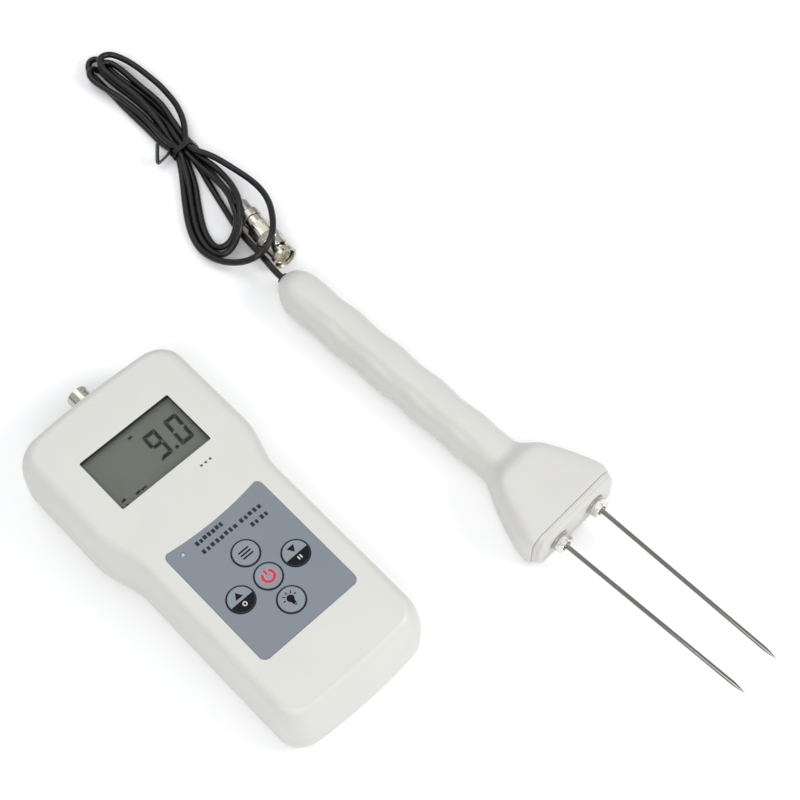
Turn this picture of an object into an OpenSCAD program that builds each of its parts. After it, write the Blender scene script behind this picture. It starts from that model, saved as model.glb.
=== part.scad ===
// Two-pin moisture meter: a hand-held meter, and a needle probe on a coaxial lead.
// Origin: centre of the meter's flat back.  +Y: towards the jack.  +Z: up.
// The meter lies on its back; the probe, its hanked lead and the plug lie beside it.

/* [Meter case] */
// Length of the case
case_l = 162; // [158:1:170]
// Width across the head, at the widest section
head_w = 78.4; // [76:0.4:84]
// Width across the grip, at the widest section
grip_w = 68; // [67:0.5:72]
// Thickness of the case
case_t = 33.4; // [33:0.2:35]
// Height of the parting line between the two shells
split_z = 10; // [9:0.5:11]
// Wall thickness of both shells
wall = 2.4; // [2:0.1:2.6]
// Corner radius of the outline
corner_r = 11; // [8:0.5:13]
// Length that the head blends down to the grip over
waist_l = 24; // [20:1:30]
// Where that blend is centred, along Y
waist_y = 18; // [14:1:22]

/* [Display] */
// Width of the display window
window_w = 43.6; // [40:0.2:46]
// Height of the display window
window_h = 26.2; // [24:0.2:27]
// Centre of the display window, along Y
window_y = 43.5; // [43:0.1:44]
// How deep the window pane sits below the face
pane_drop = 1; // [0.6:0.1:1.2]

/* [Keypad] */
// Width of the printed keypad overlay
overlay_w = 46.8; // [46:0.2:48]
// Lower edge of the overlay, along Y
overlay_y0 = -51.5; // [-53:0.5:-50]
// Upper corners of the overlay, along Y
overlay_y1 = 5.5; // [4:0.5:7]
// Radius of one key
key_r = 5.5; // [5:0.1:5.6]
// Centre of the power key, along Y
key_y = -27.4; // [-28:0.1:-27]
// Spacing of the keys above and below the power key
key_dy = 12.7; // [12.7:0.1:13]
// Spacing of the keys left and right of the power key
key_dx = 13.5; // [13:0.1:14]
// How far a key stands above the overlay
key_proud = 0.3; // [0.2:0.05:0.5]

/* [Jack] */
// Height of the jack's axis
jack_z = 17; // [16.5:0.5:18]
// Radius of the jack's barrel
barrel_r = 4.7; // [4.6:0.05:4.8]
// How far the jack stands out of the case
jack_l = 8.2; // [8:0.2:9]

/* [Probe] */
// Where the end of the handle is, along X
probe_x = 98.7; // [98:0.1:99]
// Where the end of the handle is, along Y
probe_y = 77.1; // [76:0.1:78]
// Turn of the probe from the meter's long axis, in degrees
probe_turn = 2.9; // [2.5:0.1:3.1]
// Length of the handle, up to the head
handle_l = 122; // [120:1:123]
// Length of handle and head, up to the front cap's face
shell_l = 161.5; // [161:0.5:162]
// Half width of the handle
handle_hw = 8.9; // [8.5:0.1:9.2]
// Half width of the head
head_hw = 23.3; // [22.5:0.1:24]
// Height of the handle
handle_t = 18; // [17:0.5:19]
// Height of the head
head_t = 22; // [21.5:0.5:23]
// Distance between the needles at the cap
needle_gap = 20.8; // [20:0.2:21]
// How far the needle tips stand out from the cap's face
needle_l = 91; // [85:1:95]
// Radius of a needle
needle_r = 0.95; // [0.8:0.05:1.1]
// Inward lean of each needle, in degrees
toe_in = 0.7; // [0:0.1:0.8]

/* [Lead] */
// Diameter of the coaxial lead
cord_d = 2.8; // [2.6:0.1:2.8]
// Where the plug's mouth is, along X
plug_x = 106.9; // [106.5:0.1:107.2]
// Where the plug's mouth is, along Y
plug_y = 85.4; // [85:0.1:86]
// Turn of the plug from the meter's long axis, in degrees
plug_turn = -7; // [-8:0.5:-6]
// Radius of the plug's bayonet sleeve
sleeve_r = 5.9; // [5.8:0.05:6]

/* [Hidden] */
eps = 0.01;

// case
case_hl = case_l / 2;
case_hw = head_w / 2;
grip_hw = grip_w / 2;
crown_z = 18;                 // above this height the sides round over to the face
crown_r = 7.5;                // how far the sides come in at the face
crown_n = 2.6;                // squareness of that rounding
foot_slope = 4.4;             // lean of the lower end wall
foot_r = 1.8;                 // its small rounding at the face
end_bow = 2.6;                // bow of both ends
side_bow = 0.006;             // bow of the sides, as a share of the width
back_r = 5;                   // rounding of the back's edge
face_t = 2.4;                 // thickness of the face
floor_t = 3.2;                // thickness of the back's floor
arc_steps = 5;
side_steps = 14;
end_steps = 5;

// overlay and keys
lcd_z = 28.8;                 // underside of the display
overlay_t = 0.6;
overlay_r = 3;
overlay_sag = 2;
overlay_hole_gap = 0.15;
key_top = case_t + key_proud;
key_base = 29.9;
flange_r = 6.1;
panel_z = case_t - face_t;    // underside of the face
key_places = [
    [0, key_y], [0, key_y + key_dy], [0, key_y - key_dy], [-key_dx, key_y], [key_dx, key_y]
];
led_at = [-17.3, 0.9];
sound_holes = [11.7, 13.8, 16];
sound_y = 24.2;
buzzer_at = [13.8, 20.2];

// board
board_top = 25.1;
board_t = 1.6;
board_hw = 29;
board_y0 = -50;
board_y1 = 66;
board_screw_at = [[-25, 63.6], [25, 63.6], [-20.5, -46.5], [20.5, -46.5]];
case_screw_at = [[-31, 68], [31, 68], [-27, -66], [27, -66]];
low_boss_z = 26.5;            // top of the two lower screw posts, which join the side walls

// battery and its door
battery_size = [26.5, 46.5, 17.5];
battery_y0 = -74;
battery_z0 = 4.2;
terminal_x = [-6.3, 6.3];
door_hw = 16.7;
tongue_hw = 18.6;
door_y1 = -22;
door_gap = 0.2;
tongue_z = [1.1, 2.3];

// probe: s runs from the handle's end towards the tips
probe_split = 9;
probe_wall = 2;
needle_z = 11;
cap_s0 = 158;
head_exp = 1.3;
probe_screw_s = [38, 100];
tip_l = 5.4;

head_screw_s = 142;
stations = concat(
    [0.6, 2, 4, 6.5, 9, 12, 16, 20], [for (s = [26:5.75:118]) s],
    [122, 125, 128, 131, 135, 139, 143, 147, 151, 154.5, 156.5, cap_s0]
);

// plug: local y runs from its mouth to the lead
plug_z = sleeve_r;
sleeve_l = 13;
plug_l = 33.8;
cord_r = cord_d / 2;

// Points on the probe, s along it and u across it, and on the plug, l from its mouth
function probe_pt(u, s, z) = [
    probe_x + u * cos(probe_turn) + s * sin(probe_turn),
    probe_y + u * sin(probe_turn) - s * cos(probe_turn), z];
function plug_pt(l) = [plug_x - l * sin(plug_turn), plug_y + l * cos(plug_turn), plug_z];

// Route of the lead from inside the handle to the hank
lead_route = concat([for (s = [15.6, 10, 5, 0]) probe_pt(0, s, probe_split)], [
    [98.6, 80.5, 9], [98.9, 84, 9], [99.4, 87.5, 8.9], [100.1, 92.5, 8.4], [101, 99, 7],
    [102.2, 107, 5], [104, 115.3, 3.4], [106.3, 123.2, 2.2], [108.3, 131, 1.5], [110.3, 139, 1.5]
]);
// Route from the hank to the plug
tail_route = concat(
    [[113.6, 146, 3], [113.2, 138, 2.8], [112.5, 131, 3.6], [111.8, 125.5, 5.2]],
    [for (l = [37, 33, 29, 25]) plug_pt(l)]
);
// The outer turn of the hank, which passes over the plug
loop_route = [
    [118.6, 141, 6], [121, 133, 7], [121.6, 124, 8.5], [119.8, 113, 11.5], [116, 104, 13.6],
    [111.5, 97, 14], [106.2, 93, 13.9], [101.9, 91.3, 13.4], [97.6, 91.4, 12], [94, 93.8, 9.2],
    [91, 97.2, 7], [89, 101, 4]
];
// Outline of the hank: its near lobe, the waist at the tie and its far lobe
near_lobe = [[107.2, 154], [98, 142], [90.5, 131], [86.5, 120], [85.2, 110], [87, 103], [92, 98.5],
             [96, 99.5], [97.5, 104], [98.8, 112], [101.5, 120], [108, 124.5], [115, 127], [119.5, 133],
             [119.5, 141], [119, 152]];
far_lobe = [[120.4, 163], [126.5, 178], [128.4, 190], [127.6, 204], [123, 219], [118, 224.5],
            [113.5, 224], [109, 219.5], [110, 212], [109, 200], [107.5, 186], [107.3, 170]];
hank_h = 8.4;
tie_at = [113.5, 158.4];
tie_turn = -15;

// ---------- functions ----------
function clamp01(t) = max(0, min(1, t));
function smooth(t) = let (u = clamp01(t)) u * u * (3 - 2 * u);
function unit(v) = v / norm(v);
function width_share(y) =
    (grip_hw + (case_hw - grip_hw) * smooth((y - waist_y) / waist_l + 0.5)) / case_hw
        * (1 + side_bow * (1 - pow(y / case_hl, 2)));

// One closed loop of the case outline, inset on its sides, its top end and its lower end
function case_loop(z, side, top, foot) =
    let (
        w = case_hw - side,
        l1 = case_hl - top,
        l0 = case_hl - foot,
        r = corner_r - min(side, top) * 0.5,
        arc = [for (i = [0:arc_steps]) 90 * i / arc_steps],
        plain = concat(
            [for (i = [1:side_steps]) [w, -l0 + r + (l0 + l1 - 2 * r) * i / side_steps]],
            [for (a = arc) if (a > 0) [w - r + r * cos(a), l1 - r + r * sin(a)]],
            [for (i = [1:end_steps]) [(w - r) * (1 - 2 * i / end_steps), l1]],
            [for (a = arc) if (a > 0) [-w + r - r * sin(a), l1 - r + r * cos(a)]],
            [for (i = [1:side_steps]) [-w, l1 - r - (l0 + l1 - 2 * r) * i / side_steps]],
            [for (a = arc) if (a > 0) [-w + r - r * cos(a), -l0 + r - r * sin(a)]],
            [for (i = [1:end_steps]) [(w - r) * (-1 + 2 * i / end_steps), -l0]],
            [for (a = arc) if (a > 0) [w - r + r * sin(a), -l0 + r - r * cos(a)]]
        )
    )
    [for (p = plain)
        [p[0] * width_share(p[1]),
         p[1] - sign(p[1]) * end_bow * pow(p[0] / case_hw, 2) * pow(abs(p[1]) / case_hl, 8),
         z]];

// Insets of the front shell at an angle from its widest section (0) to the face (90)
function crown_h(a, top) = crown_z + (top - crown_z) * pow(sin(a), 2 / crown_n);
function crown_in(a) = crown_r * (1 - pow(cos(a), 2 / crown_n));
function foot_in(t) = foot_slope * t + foot_r * pow(t, 12);
function front_loop(a, top, extra) =
    let (z = crown_h(a, top), t = (z - crown_z) / (top - crown_z))
    case_loop(z, crown_in(a) + extra, crown_in(a) * 0.9 + extra, foot_in(t) + extra);
function back_loop(a, low, extra) =
    let (z = low + (split_z - low) * (1 - sin(a)), d = back_r * (1 - cos(a)))
    case_loop(z, d + extra, d + extra, d + extra);

// Half width, height and section squareness of the probe along s
function probe_hw(s) =
    let (
        nose = handle_hw * sqrt(max(0.05, 1 - pow(1 - clamp01(s / 13), 2))),
        wave = 0.35 * sin(360 * (s - 8) / 23) * clamp01((s - 14) / 10) * clamp01((118 - s) / 8),
        flare = (head_hw - handle_hw) * (1 - pow(1 - clamp01((s - handle_l) / 33), head_exp)),
        corner = 5 * (1 - sqrt(1 - pow(clamp01((s - 154.5) / 5), 2) * 0.75))
    )
    nose + wave + flare - corner;
function probe_top(s) =
    let (nose = 9 * sqrt(max(0.05, 1 - pow(1 - clamp01(s / 11), 2))))
    probe_split + nose * (handle_t - probe_split) / 9
        + (head_t - handle_t) * smooth((s - handle_l - 1) / 9);
function probe_low(s) = probe_split * (1 - sqrt(max(0.05, 1 - pow(1 - clamp01(s / 9), 2))));
function squareness(s) = 2.7 + 2.8 * smooth((s - handle_l) / 14);

function upper_ring(s, inset, base) =
    let (w = probe_hw(s) - inset, h = probe_top(s) - inset - probe_split, n = squareness(s))
    concat(
        [for (a = [0:15:180])
            [w * sign(cos(a)) * pow(abs(cos(a)), 2 / n), -s, probe_split + h * pow(sin(a), 2 / n)]],
        base < probe_split ? [[-w, -s, base], [w, -s, base]] : []
    );
function lower_ring(s, inset, base) =
    let (w = probe_hw(s) - inset, h = probe_split - probe_low(s) - inset, n = squareness(s) + 1)
    concat(
        [for (a = [180:15:360])
            [w * sign(cos(a)) * pow(abs(cos(a)), 2 / n), -s, probe_split - h * pow(abs(sin(a)), 2 / n)]],
        base > probe_split ? [[w, -s, base], [-w, -s, base]] : []
    );

// Points of a smooth curve through a route, steps for each leg
function catmull(p, i, t) =
    let (a = p[max(0, i - 1)], b = p[i], c = p[i + 1], d = p[min(len(p) - 1, i + 2)])
    0.5 * (2 * b + (c - a) * t + (2 * a - 5 * b + 4 * c - d) * t * t
        + (3 * b - a - 3 * c + d) * t * t * t);
function curve(p, steps) =
    concat([for (i = [0:len(p) - 2], k = [0:steps - 1]) catmull(p, i, k / steps)], [p[len(p) - 1]]);
function tangent(p, i) = unit(p[min(len(p) - 1, i + 1)] - p[max(0, i - 1)]);
function tube_ring(p, i, r, sides) =
    let (t = tangent(p, i), u = unit(cross([0.13, 0.07, 1], t)), v = cross(t, u))
    [for (k = [0:sides - 1]) p[i] + r * (cos(360 * k / sides) * u + sin(360 * k / sides) * v)];

// ---------- shape helpers ----------
// Solid through a stack of rings; each ring runs anticlockwise seen from the stack's far end
module loft(rings) {
    n = len(rings[0]);
    m = len(rings);
    polyhedron(
        points = [for (r = rings) each r],
        faces = concat(
            [[for (i = [0:n - 1]) i]],
            [for (k = [0:m - 2], i = [0:n - 1], f = [0, 1])
                f == 0 ? [k * n + i, (k + 1) * n + i, (k + 1) * n + (i + 1) % n]
                    : [k * n + i, (k + 1) * n + (i + 1) % n, k * n + (i + 1) % n]],
            [[for (i = [n - 1:-1:0]) (m - 1) * n + i]]
        ),
        convexity = 6
    );
}

module tube(route, r, steps = 2, sides = 8) {
    p = curve(route, steps);
    loft([for (i = [0:len(p) - 1]) tube_ring(p, i, r, sides)]);
}

module box(x0, x1, y0, y1, z0, z1) {
    translate([x0, y0, z0]) cube([x1 - x0, y1 - y0, z1 - z0]);
}

module round_plate(w, l, t, r) {
    linear_extrude(t) hull() for (x = [-1, 1], y = [-1, 1])
        translate([x * (w / 2 - r), y * (l / 2 - r)]) circle(r, $fn = 32);
}

// Cylinder along +Y from y0 to y1
module bar(r, y0, y1, fn = 48) {
    translate([0, y0, 0]) rotate([-90, 0, 0]) cylinder(r = r, h = y1 - y0, $fn = fn);
}

module ring(r1, r0, y0, y1, fn = 48) {
    difference() {
        bar(r1, y0, y1, fn);
        bar(r0, y0 - 1, y1 + 1);
    }
}

module at_jack() { translate([0, case_hl, jack_z]) children(); }
module at_terminals() {
    translate([0, battery_y0 + battery_size[1], battery_z0 + battery_size[2] / 2]) children();
}
module at_probe() { translate([probe_x, probe_y, 0]) rotate([0, 0, probe_turn]) children(); }
module at_plug() { translate([plug_x, plug_y, plug_z]) rotate([0, 0, plug_turn]) children(); }
// Local frame of one needle: +Y along the needle, towards the handle, from the cap's face
module at_needle(side) {
    at_probe() translate([side * needle_gap / 2, -shell_l, needle_z])
        rotate([0, 0, side * -toe_in]) children();
}

// ---------- case ----------
module front_body(extra, top, low) {
    loft(concat(
        [case_loop(low, extra, extra, extra)],
        [for (a = [0:11.25:90]) front_loop(a, top, extra)]
    ));
}

module back_body(extra, low, high) {
    loft(concat(
        [for (a = [90:-15:0]) back_loop(a, low, extra)],
        [case_loop(high, extra, extra, extra)]
    ));
}

module overlay_outline(gap) {
    top = overlay_y1;
    hw = overlay_w / 2 + gap;
    r = overlay_r;
    sag_r = (pow(hw, 2) + pow(overlay_sag, 2)) / (2 * overlay_sag);
    difference() {
        hull() for (x = [-1, 1], y = [overlay_y0 - gap + r, top + gap - r])
            translate([x * (hw - r), y]) circle(r, $fn = 32);
        translate([0, top + gap - overlay_sag + sag_r]) circle(sag_r, $fn = 240);
    }
}

module front_shell() color("#dedcd8") difference() {
    union() {
        difference() {
            front_body(0, case_t, split_z);
            front_body(wall, panel_z, split_z - 1);
        }
        for (p = case_screw_at) translate([p[0], p[1], split_z])
            cylinder(r = 3.6, h = (p[1] > 0 ? panel_z + 0.5 : low_boss_z) - split_z, $fn = 40);
        for (p = board_screw_at) translate([p[0], p[1], board_top])
            cylinder(r = 2.8, h = panel_z - board_top + 0.5, $fn = 32);
    }
    translate([0, window_y, panel_z - 1]) linear_extrude(face_t + 2)
        square([window_w, window_h], center = true);
    translate([0, 0, case_t - overlay_t]) linear_extrude(3) overlay_outline(0.05);
    for (p = key_places) translate([p[0], p[1], panel_z - 1]) cylinder(r = key_r + 0.25, h = 6, $fn = 64);
    for (x = sound_holes) translate([x, sound_y, panel_z - 1]) cylinder(r = 0.55, h = 6, $fn = 20);
    translate([led_at[0], led_at[1], panel_z - 1]) cylinder(r = 1.65, h = 6, $fn = 32);
    at_jack() bar(4.6, -10, 1);
    for (p = case_screw_at) translate([p[0], p[1], split_z - 1])
        cylinder(r = 1.35, h = 13, $fn = 24);
    for (p = board_screw_at) translate([p[0], p[1], board_top - 1])
        cylinder(r = 0.95, h = 6, $fn = 20);
}

// The door's sliding plate, with its two side tongues
module door_plate(gap, y0) {
    box(-door_hw - gap, door_hw + gap, y0, door_y1 + gap, -1, tongue_z[0] + eps);
    box(-tongue_hw - gap, tongue_hw + gap, y0, door_y1 + gap, tongue_z[0] - gap, tongue_z[1] + gap);
}

module back_shell() color("#dad8d4") difference() {
    union() {
        difference() {
            back_body(0, 0, split_z);
            back_body(wall, floor_t, split_z + 1);
        }
        for (p = case_screw_at) translate([p[0], p[1], 1]) cylinder(r = 4.2, h = split_z - 1, $fn = 40);
        for (x = [-16.6, 15]) box(x, x + 1.6, -77, -20, 2, 18);
        box(-15.5, 15.5, -20, -18.4, 2, 12);
    }
    box(-14.4, 14.4, -75, -24, -1, floor_t + 1);
    door_plate(door_gap, -case_hl - 5);
    for (p = case_screw_at) translate([p[0], p[1], -1]) {
        cylinder(r = 1.7, h = 20, $fn = 32);
        cylinder(r = 3, h = 5, $fn = 40);
    }
}

module case_screws() color("#b9bcc0") for (p = case_screw_at) translate([p[0], p[1], 0]) difference() {
    union() {
        translate([0, 0, 1.6]) cylinder(r = 2.8, h = 2.3, $fn = 40);
        cylinder(r = 1.3, h = 19, $fn = 24);
    }
    translate([0, 0, -1]) cylinder(r = 4, h = 2.6, $fn = 24);
    for (a = [0, 90]) rotate([0, 0, a]) translate([-1.7, -0.3, 1]) cube([3.4, 0.6, 1.7]);
}

module battery_door() color("#dad8d4") difference() {
    intersection() {
        back_body(0, 0, split_z);
        door_plate(0, -case_hl - 5);
    }
    for (i = [0:3]) box(-8, 8, -70 + i * 3, -68.8 + i * 3, -1, 0.5);
}

// ---------- display ----------
module lcd_window() color("#8f978f") translate([0, window_y, case_t - pane_drop - 1.2])
    linear_extrude(1.2) square([window_w - 0.1, window_h - 0.1], center = true);

module lcd_panel() color("#6e7468") translate([0, window_y, lcd_z]) round_plate(49, 31, 2, 0.6);

module lcd_frame() color("#e6e6e2") translate([0, window_y, board_top]) difference() {
    linear_extrude(panel_z - board_top - 0.05) square([52, 34], center = true);
    translate([0, 0, -1]) linear_extrude(10) square([49.2, 31.2], center = true);
}

module backlight_panel() color("#f4f6f0") translate([0, window_y, 26.2]) {
    linear_extrude(2.4) square([46, 25], center = true);
}

module zebra_strips() color("#3a3a3a") for (s = [-1, 1])
    translate([0, window_y + s * 14.2, board_top]) linear_extrude(lcd_z - board_top)
        square([45, 2], center = true);

// ---------- keypad ----------
module keypad_overlay() color("#8a919c") translate([0, 0, case_t - overlay_t])
    linear_extrude(overlay_t) difference() {
        overlay_outline(0);
        for (p = key_places) translate(p) circle(key_r + overlay_hole_gap, $fn = 64);
        translate(led_at) circle(0.9, $fn = 24);
    }

module key(i, tint) color(tint) translate([key_places[i][0], key_places[i][1], 0])
    rotate_extrude($fn = 64) polygon([
        [0, key_base], [flange_r, key_base], [flange_r, panel_z - 0.15], [key_r, panel_z - 0.15],
        [key_r, key_top - 0.25], [key_r - 0.25, key_top], [0, key_top]
    ]);
module key_power() { key(0, "#7e8794"); }
module key_fun() { key(1, "#7e8794"); }
module key_light() { key(2, "#7e8794"); }
module key_zero() { key(3, "#3c4552"); }
module key_hold() { key(4, "#3c4552"); }

module tact_switches() color("#2c2c2e") for (p = key_places) translate([p[0], p[1], board_top]) {
    translate([-3, -3, 0]) cube([6, 6, 3.4]);
    translate([0, 0, 3.4 - eps]) cylinder(r = 1.7, h = 0.9, $fn = 32);
}

// ---------- electronics ----------
module main_board() color("#2f6b46") difference() {
    box(-board_hw, board_hw, board_y0, board_y1, board_top - board_t, board_top - 0.02);
    for (p = board_screw_at) translate([p[0], p[1], 20]) cylinder(r = 1.2, h = 10, $fn = 24);
    for (p = case_screw_at) translate([p[0], p[1], 20]) cylinder(r = 4, h = 10, $fn = 40);
    translate([0, board_y1, 20]) cylinder(r = 9, h = 10, $fn = 48);
}

module board_screws() color("#b9bcc0") for (p = board_screw_at) translate([p[0], p[1], 0]) {
    translate([0, 0, board_top - board_t - 1.2]) cylinder(r = 2, h = 1.18, $fn = 24);
    translate([0, 0, board_top - board_t - 0.1]) cylinder(r = 0.9, h = 5.5, $fn = 20);
}

module main_chip() color("#232325") translate([-7, 0, board_top - board_t - 1.65]) cube([14, 14, 1.6]);

module board_parts() color("#c9a86a") {
    for (i = [0:3]) translate([-24 + i * 6, 8, board_top]) cylinder(r = 2, h = 5, $fn = 24);
    for (i = [0:5]) translate([-22 + i * 4.4, -6, board_top]) cube([3.2, 1.6, 1.2]);
    translate([12, 4, board_top]) cube([10, 4.6, 3.4]);
    translate([16, -8, board_top]) cube([6.6, 7, 4.6]);
}

module buzzer() color("#222224") translate([buzzer_at[0], buzzer_at[1], board_top]) difference() {
    cylinder(r = 6, h = 5, $fn = 48);
    translate([0, 0, 4]) cylinder(r = 1.2, h = 3, $fn = 24);
}

module indicator_led() color("#c8452f") translate([led_at[0], led_at[1], board_top]) {
    cylinder(r = 1.9, h = 1, $fn = 32);
    cylinder(r = 1.45, h = 5.8, $fn = 32);
    translate([0, 0, 5.8]) sphere(r = 1.45, $fn = 24);
}

// ---------- jack ----------
module jack_shell() color("#c7c8c6") at_jack() difference() {
    union() {
        bar(4.5, -8, eps);
        bar(6.2, 0, 1.2);
        bar(barrel_r, 1.2 - eps, jack_l);
        rotate([0, 30, 0]) translate([0, 5.9, 0]) cylinder(r = 0.9, h = 5.6, $fn = 24);
        rotate([0, 210, 0]) translate([0, 5.9, 0]) cylinder(r = 0.9, h = 5.6, $fn = 24);
    }
    bar(4.15, 1.5, jack_l + 1);
    bar(2.7, -9, 2);
}

module jack_insulator() color("#f0eee6") at_jack() ring(2.65, 0.85, -7.5, 4.5);
module jack_contact() color("#d2b45c") at_jack() difference() {
    bar(0.8, -11, 4.2, 24);
    bar(0.45, 1.5, 5, 24);
}
module jack_washer() color("#b9bcc0") at_jack() ring(6.4, 4.6, -wall - 1.2, -wall - 0.4);
module jack_nut() color("#b9bcc0") at_jack() difference() {
    translate([0, -wall - 3.8, 0]) rotate([-90, 0, 0]) cylinder(r = 6.4, h = 2.5, $fn = 6);
    bar(4.55, -wall - 5, -wall);
}
module jack_lead() color("#26272b")
    tube([[0, 69.8, 17], [0, 67, 17], [0.5, 64, 17.6], [1, 61, 19.6], [1.2, 59, 22]], 0.9, 2, 8);

// ---------- battery ----------
module battery() color("#5d6672") {
    box(-battery_size[0] / 2, battery_size[0] / 2, battery_y0, battery_y0 + battery_size[1],
        battery_z0, battery_z0 + battery_size[2]);
    at_terminals() for (x = terminal_x) translate([x, 0, 0]) bar(2.6, -eps, 2.2, 32);
}
module battery_snap() color("#1d1d1f") at_terminals() difference() {
    box(-12.6, 12.6, 0.3, 4.6, -6, 6);
    for (x = terminal_x) translate([x, 0, 0]) bar(2.8, -1, 3, 32);
}
module battery_lead(x, tint) color(tint)
    tube([for (p = [[4.8, 13], [8, 13.4], [11, 15.6], [12.6, 19], [13, 22.6]])
        [x, battery_y0 + battery_size[1] + p[0], p[1]]], 0.7, 1, 8);
module battery_lead_red() { battery_lead(-6, "#b7302c"); }
module battery_lead_black() { battery_lead(6, "#1b1b1d"); }

// ---------- probe ----------
module probe_upper_shell() color("#dddbd7") at_probe() difference() {
    union() {
        difference() {
            loft([for (s = stations) upper_ring(s, 0, probe_split)]);
            loft([for (s = concat([4], [for (t = stations) if (t > 4) t], [cap_s0 + 1]))
                upper_ring(s, probe_wall, probe_split - 1)]);
        }
        for (s = probe_screw_s) translate([0, -s, probe_split]) cylinder(r = 2.8, h = 8, $fn = 32);
        translate([0, -head_screw_s, probe_split]) cylinder(r = 3.2, h = 12, $fn = 32);
    }
    for (s = probe_screw_s) translate([0, -s, probe_split - 1]) cylinder(r = 1.15, h = 7, $fn = 20);
    translate([0, -head_screw_s, probe_split - 1]) cylinder(r = 1.15, h = 10, $fn = 20);
    translate([0, 0, probe_split]) bar(2.65, -8, 2, 32);
}

module probe_lower_shell() color("#d9d7d3") at_probe() difference() {
    union() {
        difference() {
            loft([for (s = stations) lower_ring(s, 0, probe_split)]);
            loft([for (s = concat([4], [for (t = stations) if (t > 4) t], [cap_s0 + 1]))
                lower_ring(s, probe_wall, probe_split + 1)]);
        }
        for (s = concat(probe_screw_s, [head_screw_s])) translate([0, -s, 0.5])
            cylinder(r = 3.2, h = probe_split - 0.5, $fn = 32);
    }
    for (s = concat(probe_screw_s, [head_screw_s])) translate([0, -s, -1]) {
        cylinder(r = 1.35, h = 12, $fn = 24);
        cylinder(r = 2.4, h = 3.6, $fn = 32);
    }
    translate([0, 0, probe_split]) bar(2.65, -8, 2, 32);
}

module probe_screws() color("#b9bcc0") at_probe()
    for (s = concat(probe_screw_s, [head_screw_s])) translate([0, -s, 0.8]) difference() {
        union() {
            cylinder(r = 2.2, h = 1.7, $fn = 32);
            cylinder(r = 1.1, h = 13, $fn = 20);
        }
        for (a = [0, 90]) rotate([0, 0, a]) translate([-1.3, -0.25, -1]) cube([2.6, 0.5, 1.8]);
    }

module probe_front_cap() color("#e2e1dd") difference() {
    at_probe() {
        translate([0, -cap_s0, 11]) rotate([90, 0, 0]) round_plate(43.6, 19.4, shell_l - cap_s0, 5);
        translate([0, -cap_s0 + 2.6, 11]) rotate([90, 0, 0]) difference() {
            round_plate(36, 14.6, 2.8, 3);
            translate([0, 0, -1]) round_plate(33, 11.6, 5, 2);
        }
    }
    for (side = [-1, 1]) at_needle(side) bar(3.3, -1, 8, 40);
}

module needle(side) color("#b4b3af") at_needle(side) translate([0, 8.4, 0]) rotate([90, 0, 0])
    rotate_extrude($fn = 40) polygon([
        [0, 0], [1.98, 0], [1.98, 12.8], [needle_r, 13.2],
        [needle_r, 8.4 + needle_l - tip_l], [0.08, 8.4 + needle_l], [0, 8.4 + needle_l]
    ]);
module needle_left() { needle(-1); }
module needle_right() { needle(1); }

module hex_nut(y0, y1) {
    difference() {
        translate([0, y0, 0]) rotate([-90, 0, 0]) rotate([0, 0, 15])
            cylinder(r = 4.04, h = y1 - y0, $fn = 6);
        bar(2.03, y0 - 1, y1 + 1, 40);
    }
}
module needle_nuts() color("#c7c8c6") for (side = [-1, 1]) at_needle(side) {
    hex_nut(-4.2, -0.9);
    hex_nut(6, 8);
}
module needle_washers() color("#a9aaa8") for (side = [-1, 1]) at_needle(side)
    ring(4.5, 2.1, -0.85, -0.15, 40);
module needle_bushes() color("#efede6") for (side = [-1, 1]) at_needle(side) difference() {
    union() {
        bar(3.2, -0.05, 4, 40);
        bar(4.4, 3.7, 4.9, 40);
    }
    bar(2.05, -1, 6, 40);
}
module solder_tags() color("#d2b45c") for (side = [-1, 1]) at_needle(side) difference() {
    union() {
        bar(3.4, 5.1, 5.7, 32);
        box(-1.2, 1.2, 5.1, 5.7, -5.4, -2);
    }
    bar(2.05, 4, 7, 32);
}
module probe_wires() color("#8c2f2b") at_probe() for (side = [-1, 1]) tube([
    [side * 0.8, -16.4, probe_split], [side * 2.5, -22, probe_split], [side * 4.6, -30, probe_split],
    [side * 4.8, -60, probe_split], [side * 4.8, -95, probe_split], [side * 4.8, -122, probe_split],
    [side * 6.2, -138, 8], [side * 9.2, -149, 6.6], [side * 10.2, -155.7, 6.2]
], 0.65, 1, 8);
module cable_gland() color("#232323") at_probe() translate([0, 0, probe_split]) difference() {
    union() {
        bar(2.6, -6, 0.6, 32);
        bar(3.4, -7.6, -4.4, 32);
    }
    bar(cord_r + 0.05, -9, 2, 32);
}
module cable_clamp() color("#d9d7d3") at_probe() translate([0, 0, probe_split]) difference() {
    box(-4.6, 4.6, -14.6, -9.6, -3.6, 3.6);
    bar(cord_r + 0.05, -16, -8, 32);
}

// ---------- plug ----------
module plug_sleeve() color("#c7c8c6") at_plug() difference() {
    union() {
        bar(sleeve_r, 0, 2.2, 64);
        bar(sleeve_r - 0.35, 2.2 - eps, 9.4, 64);
        bar(sleeve_r, 9.4 - eps, sleeve_l, 64);
    }
    bar(4.78, -1, 11.2, 64);
    bar(4.08, 11, sleeve_l + 1, 48);
    for (a = [0, 180]) rotate([0, a, 0]) {
        box(-1, 1, -1, 5, 4, 8);
        box(-1, 4.4, 3.2, 5.2, 3.4, 5.9);
    }
    for (a = [0:15:345]) rotate([0, a, 0]) box(-0.3, 0.3, 10, sleeve_l + 1, sleeve_r - 0.2, sleeve_r + 1);
}
module plug_body() color("#c7c8c6") at_plug() difference() {
    union() {
        bar(4, 1.5, 13.5, 48);
        bar(4.7, 9, 10.6, 48);
        translate([0, 13.2, 0]) rotate([-90, 0, 0]) cylinder(r = 5.4, h = 7, $fn = 6);
        bar(4.3, 20, 24, 48);
    }
    bar(3.1, 0, 14, 48);
    bar(2.2, 13, 25, 40);
}
module plug_washer() color("#a9aaa8") at_plug() ring(4.7, 4.1, 10.75, 11.05);
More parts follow.
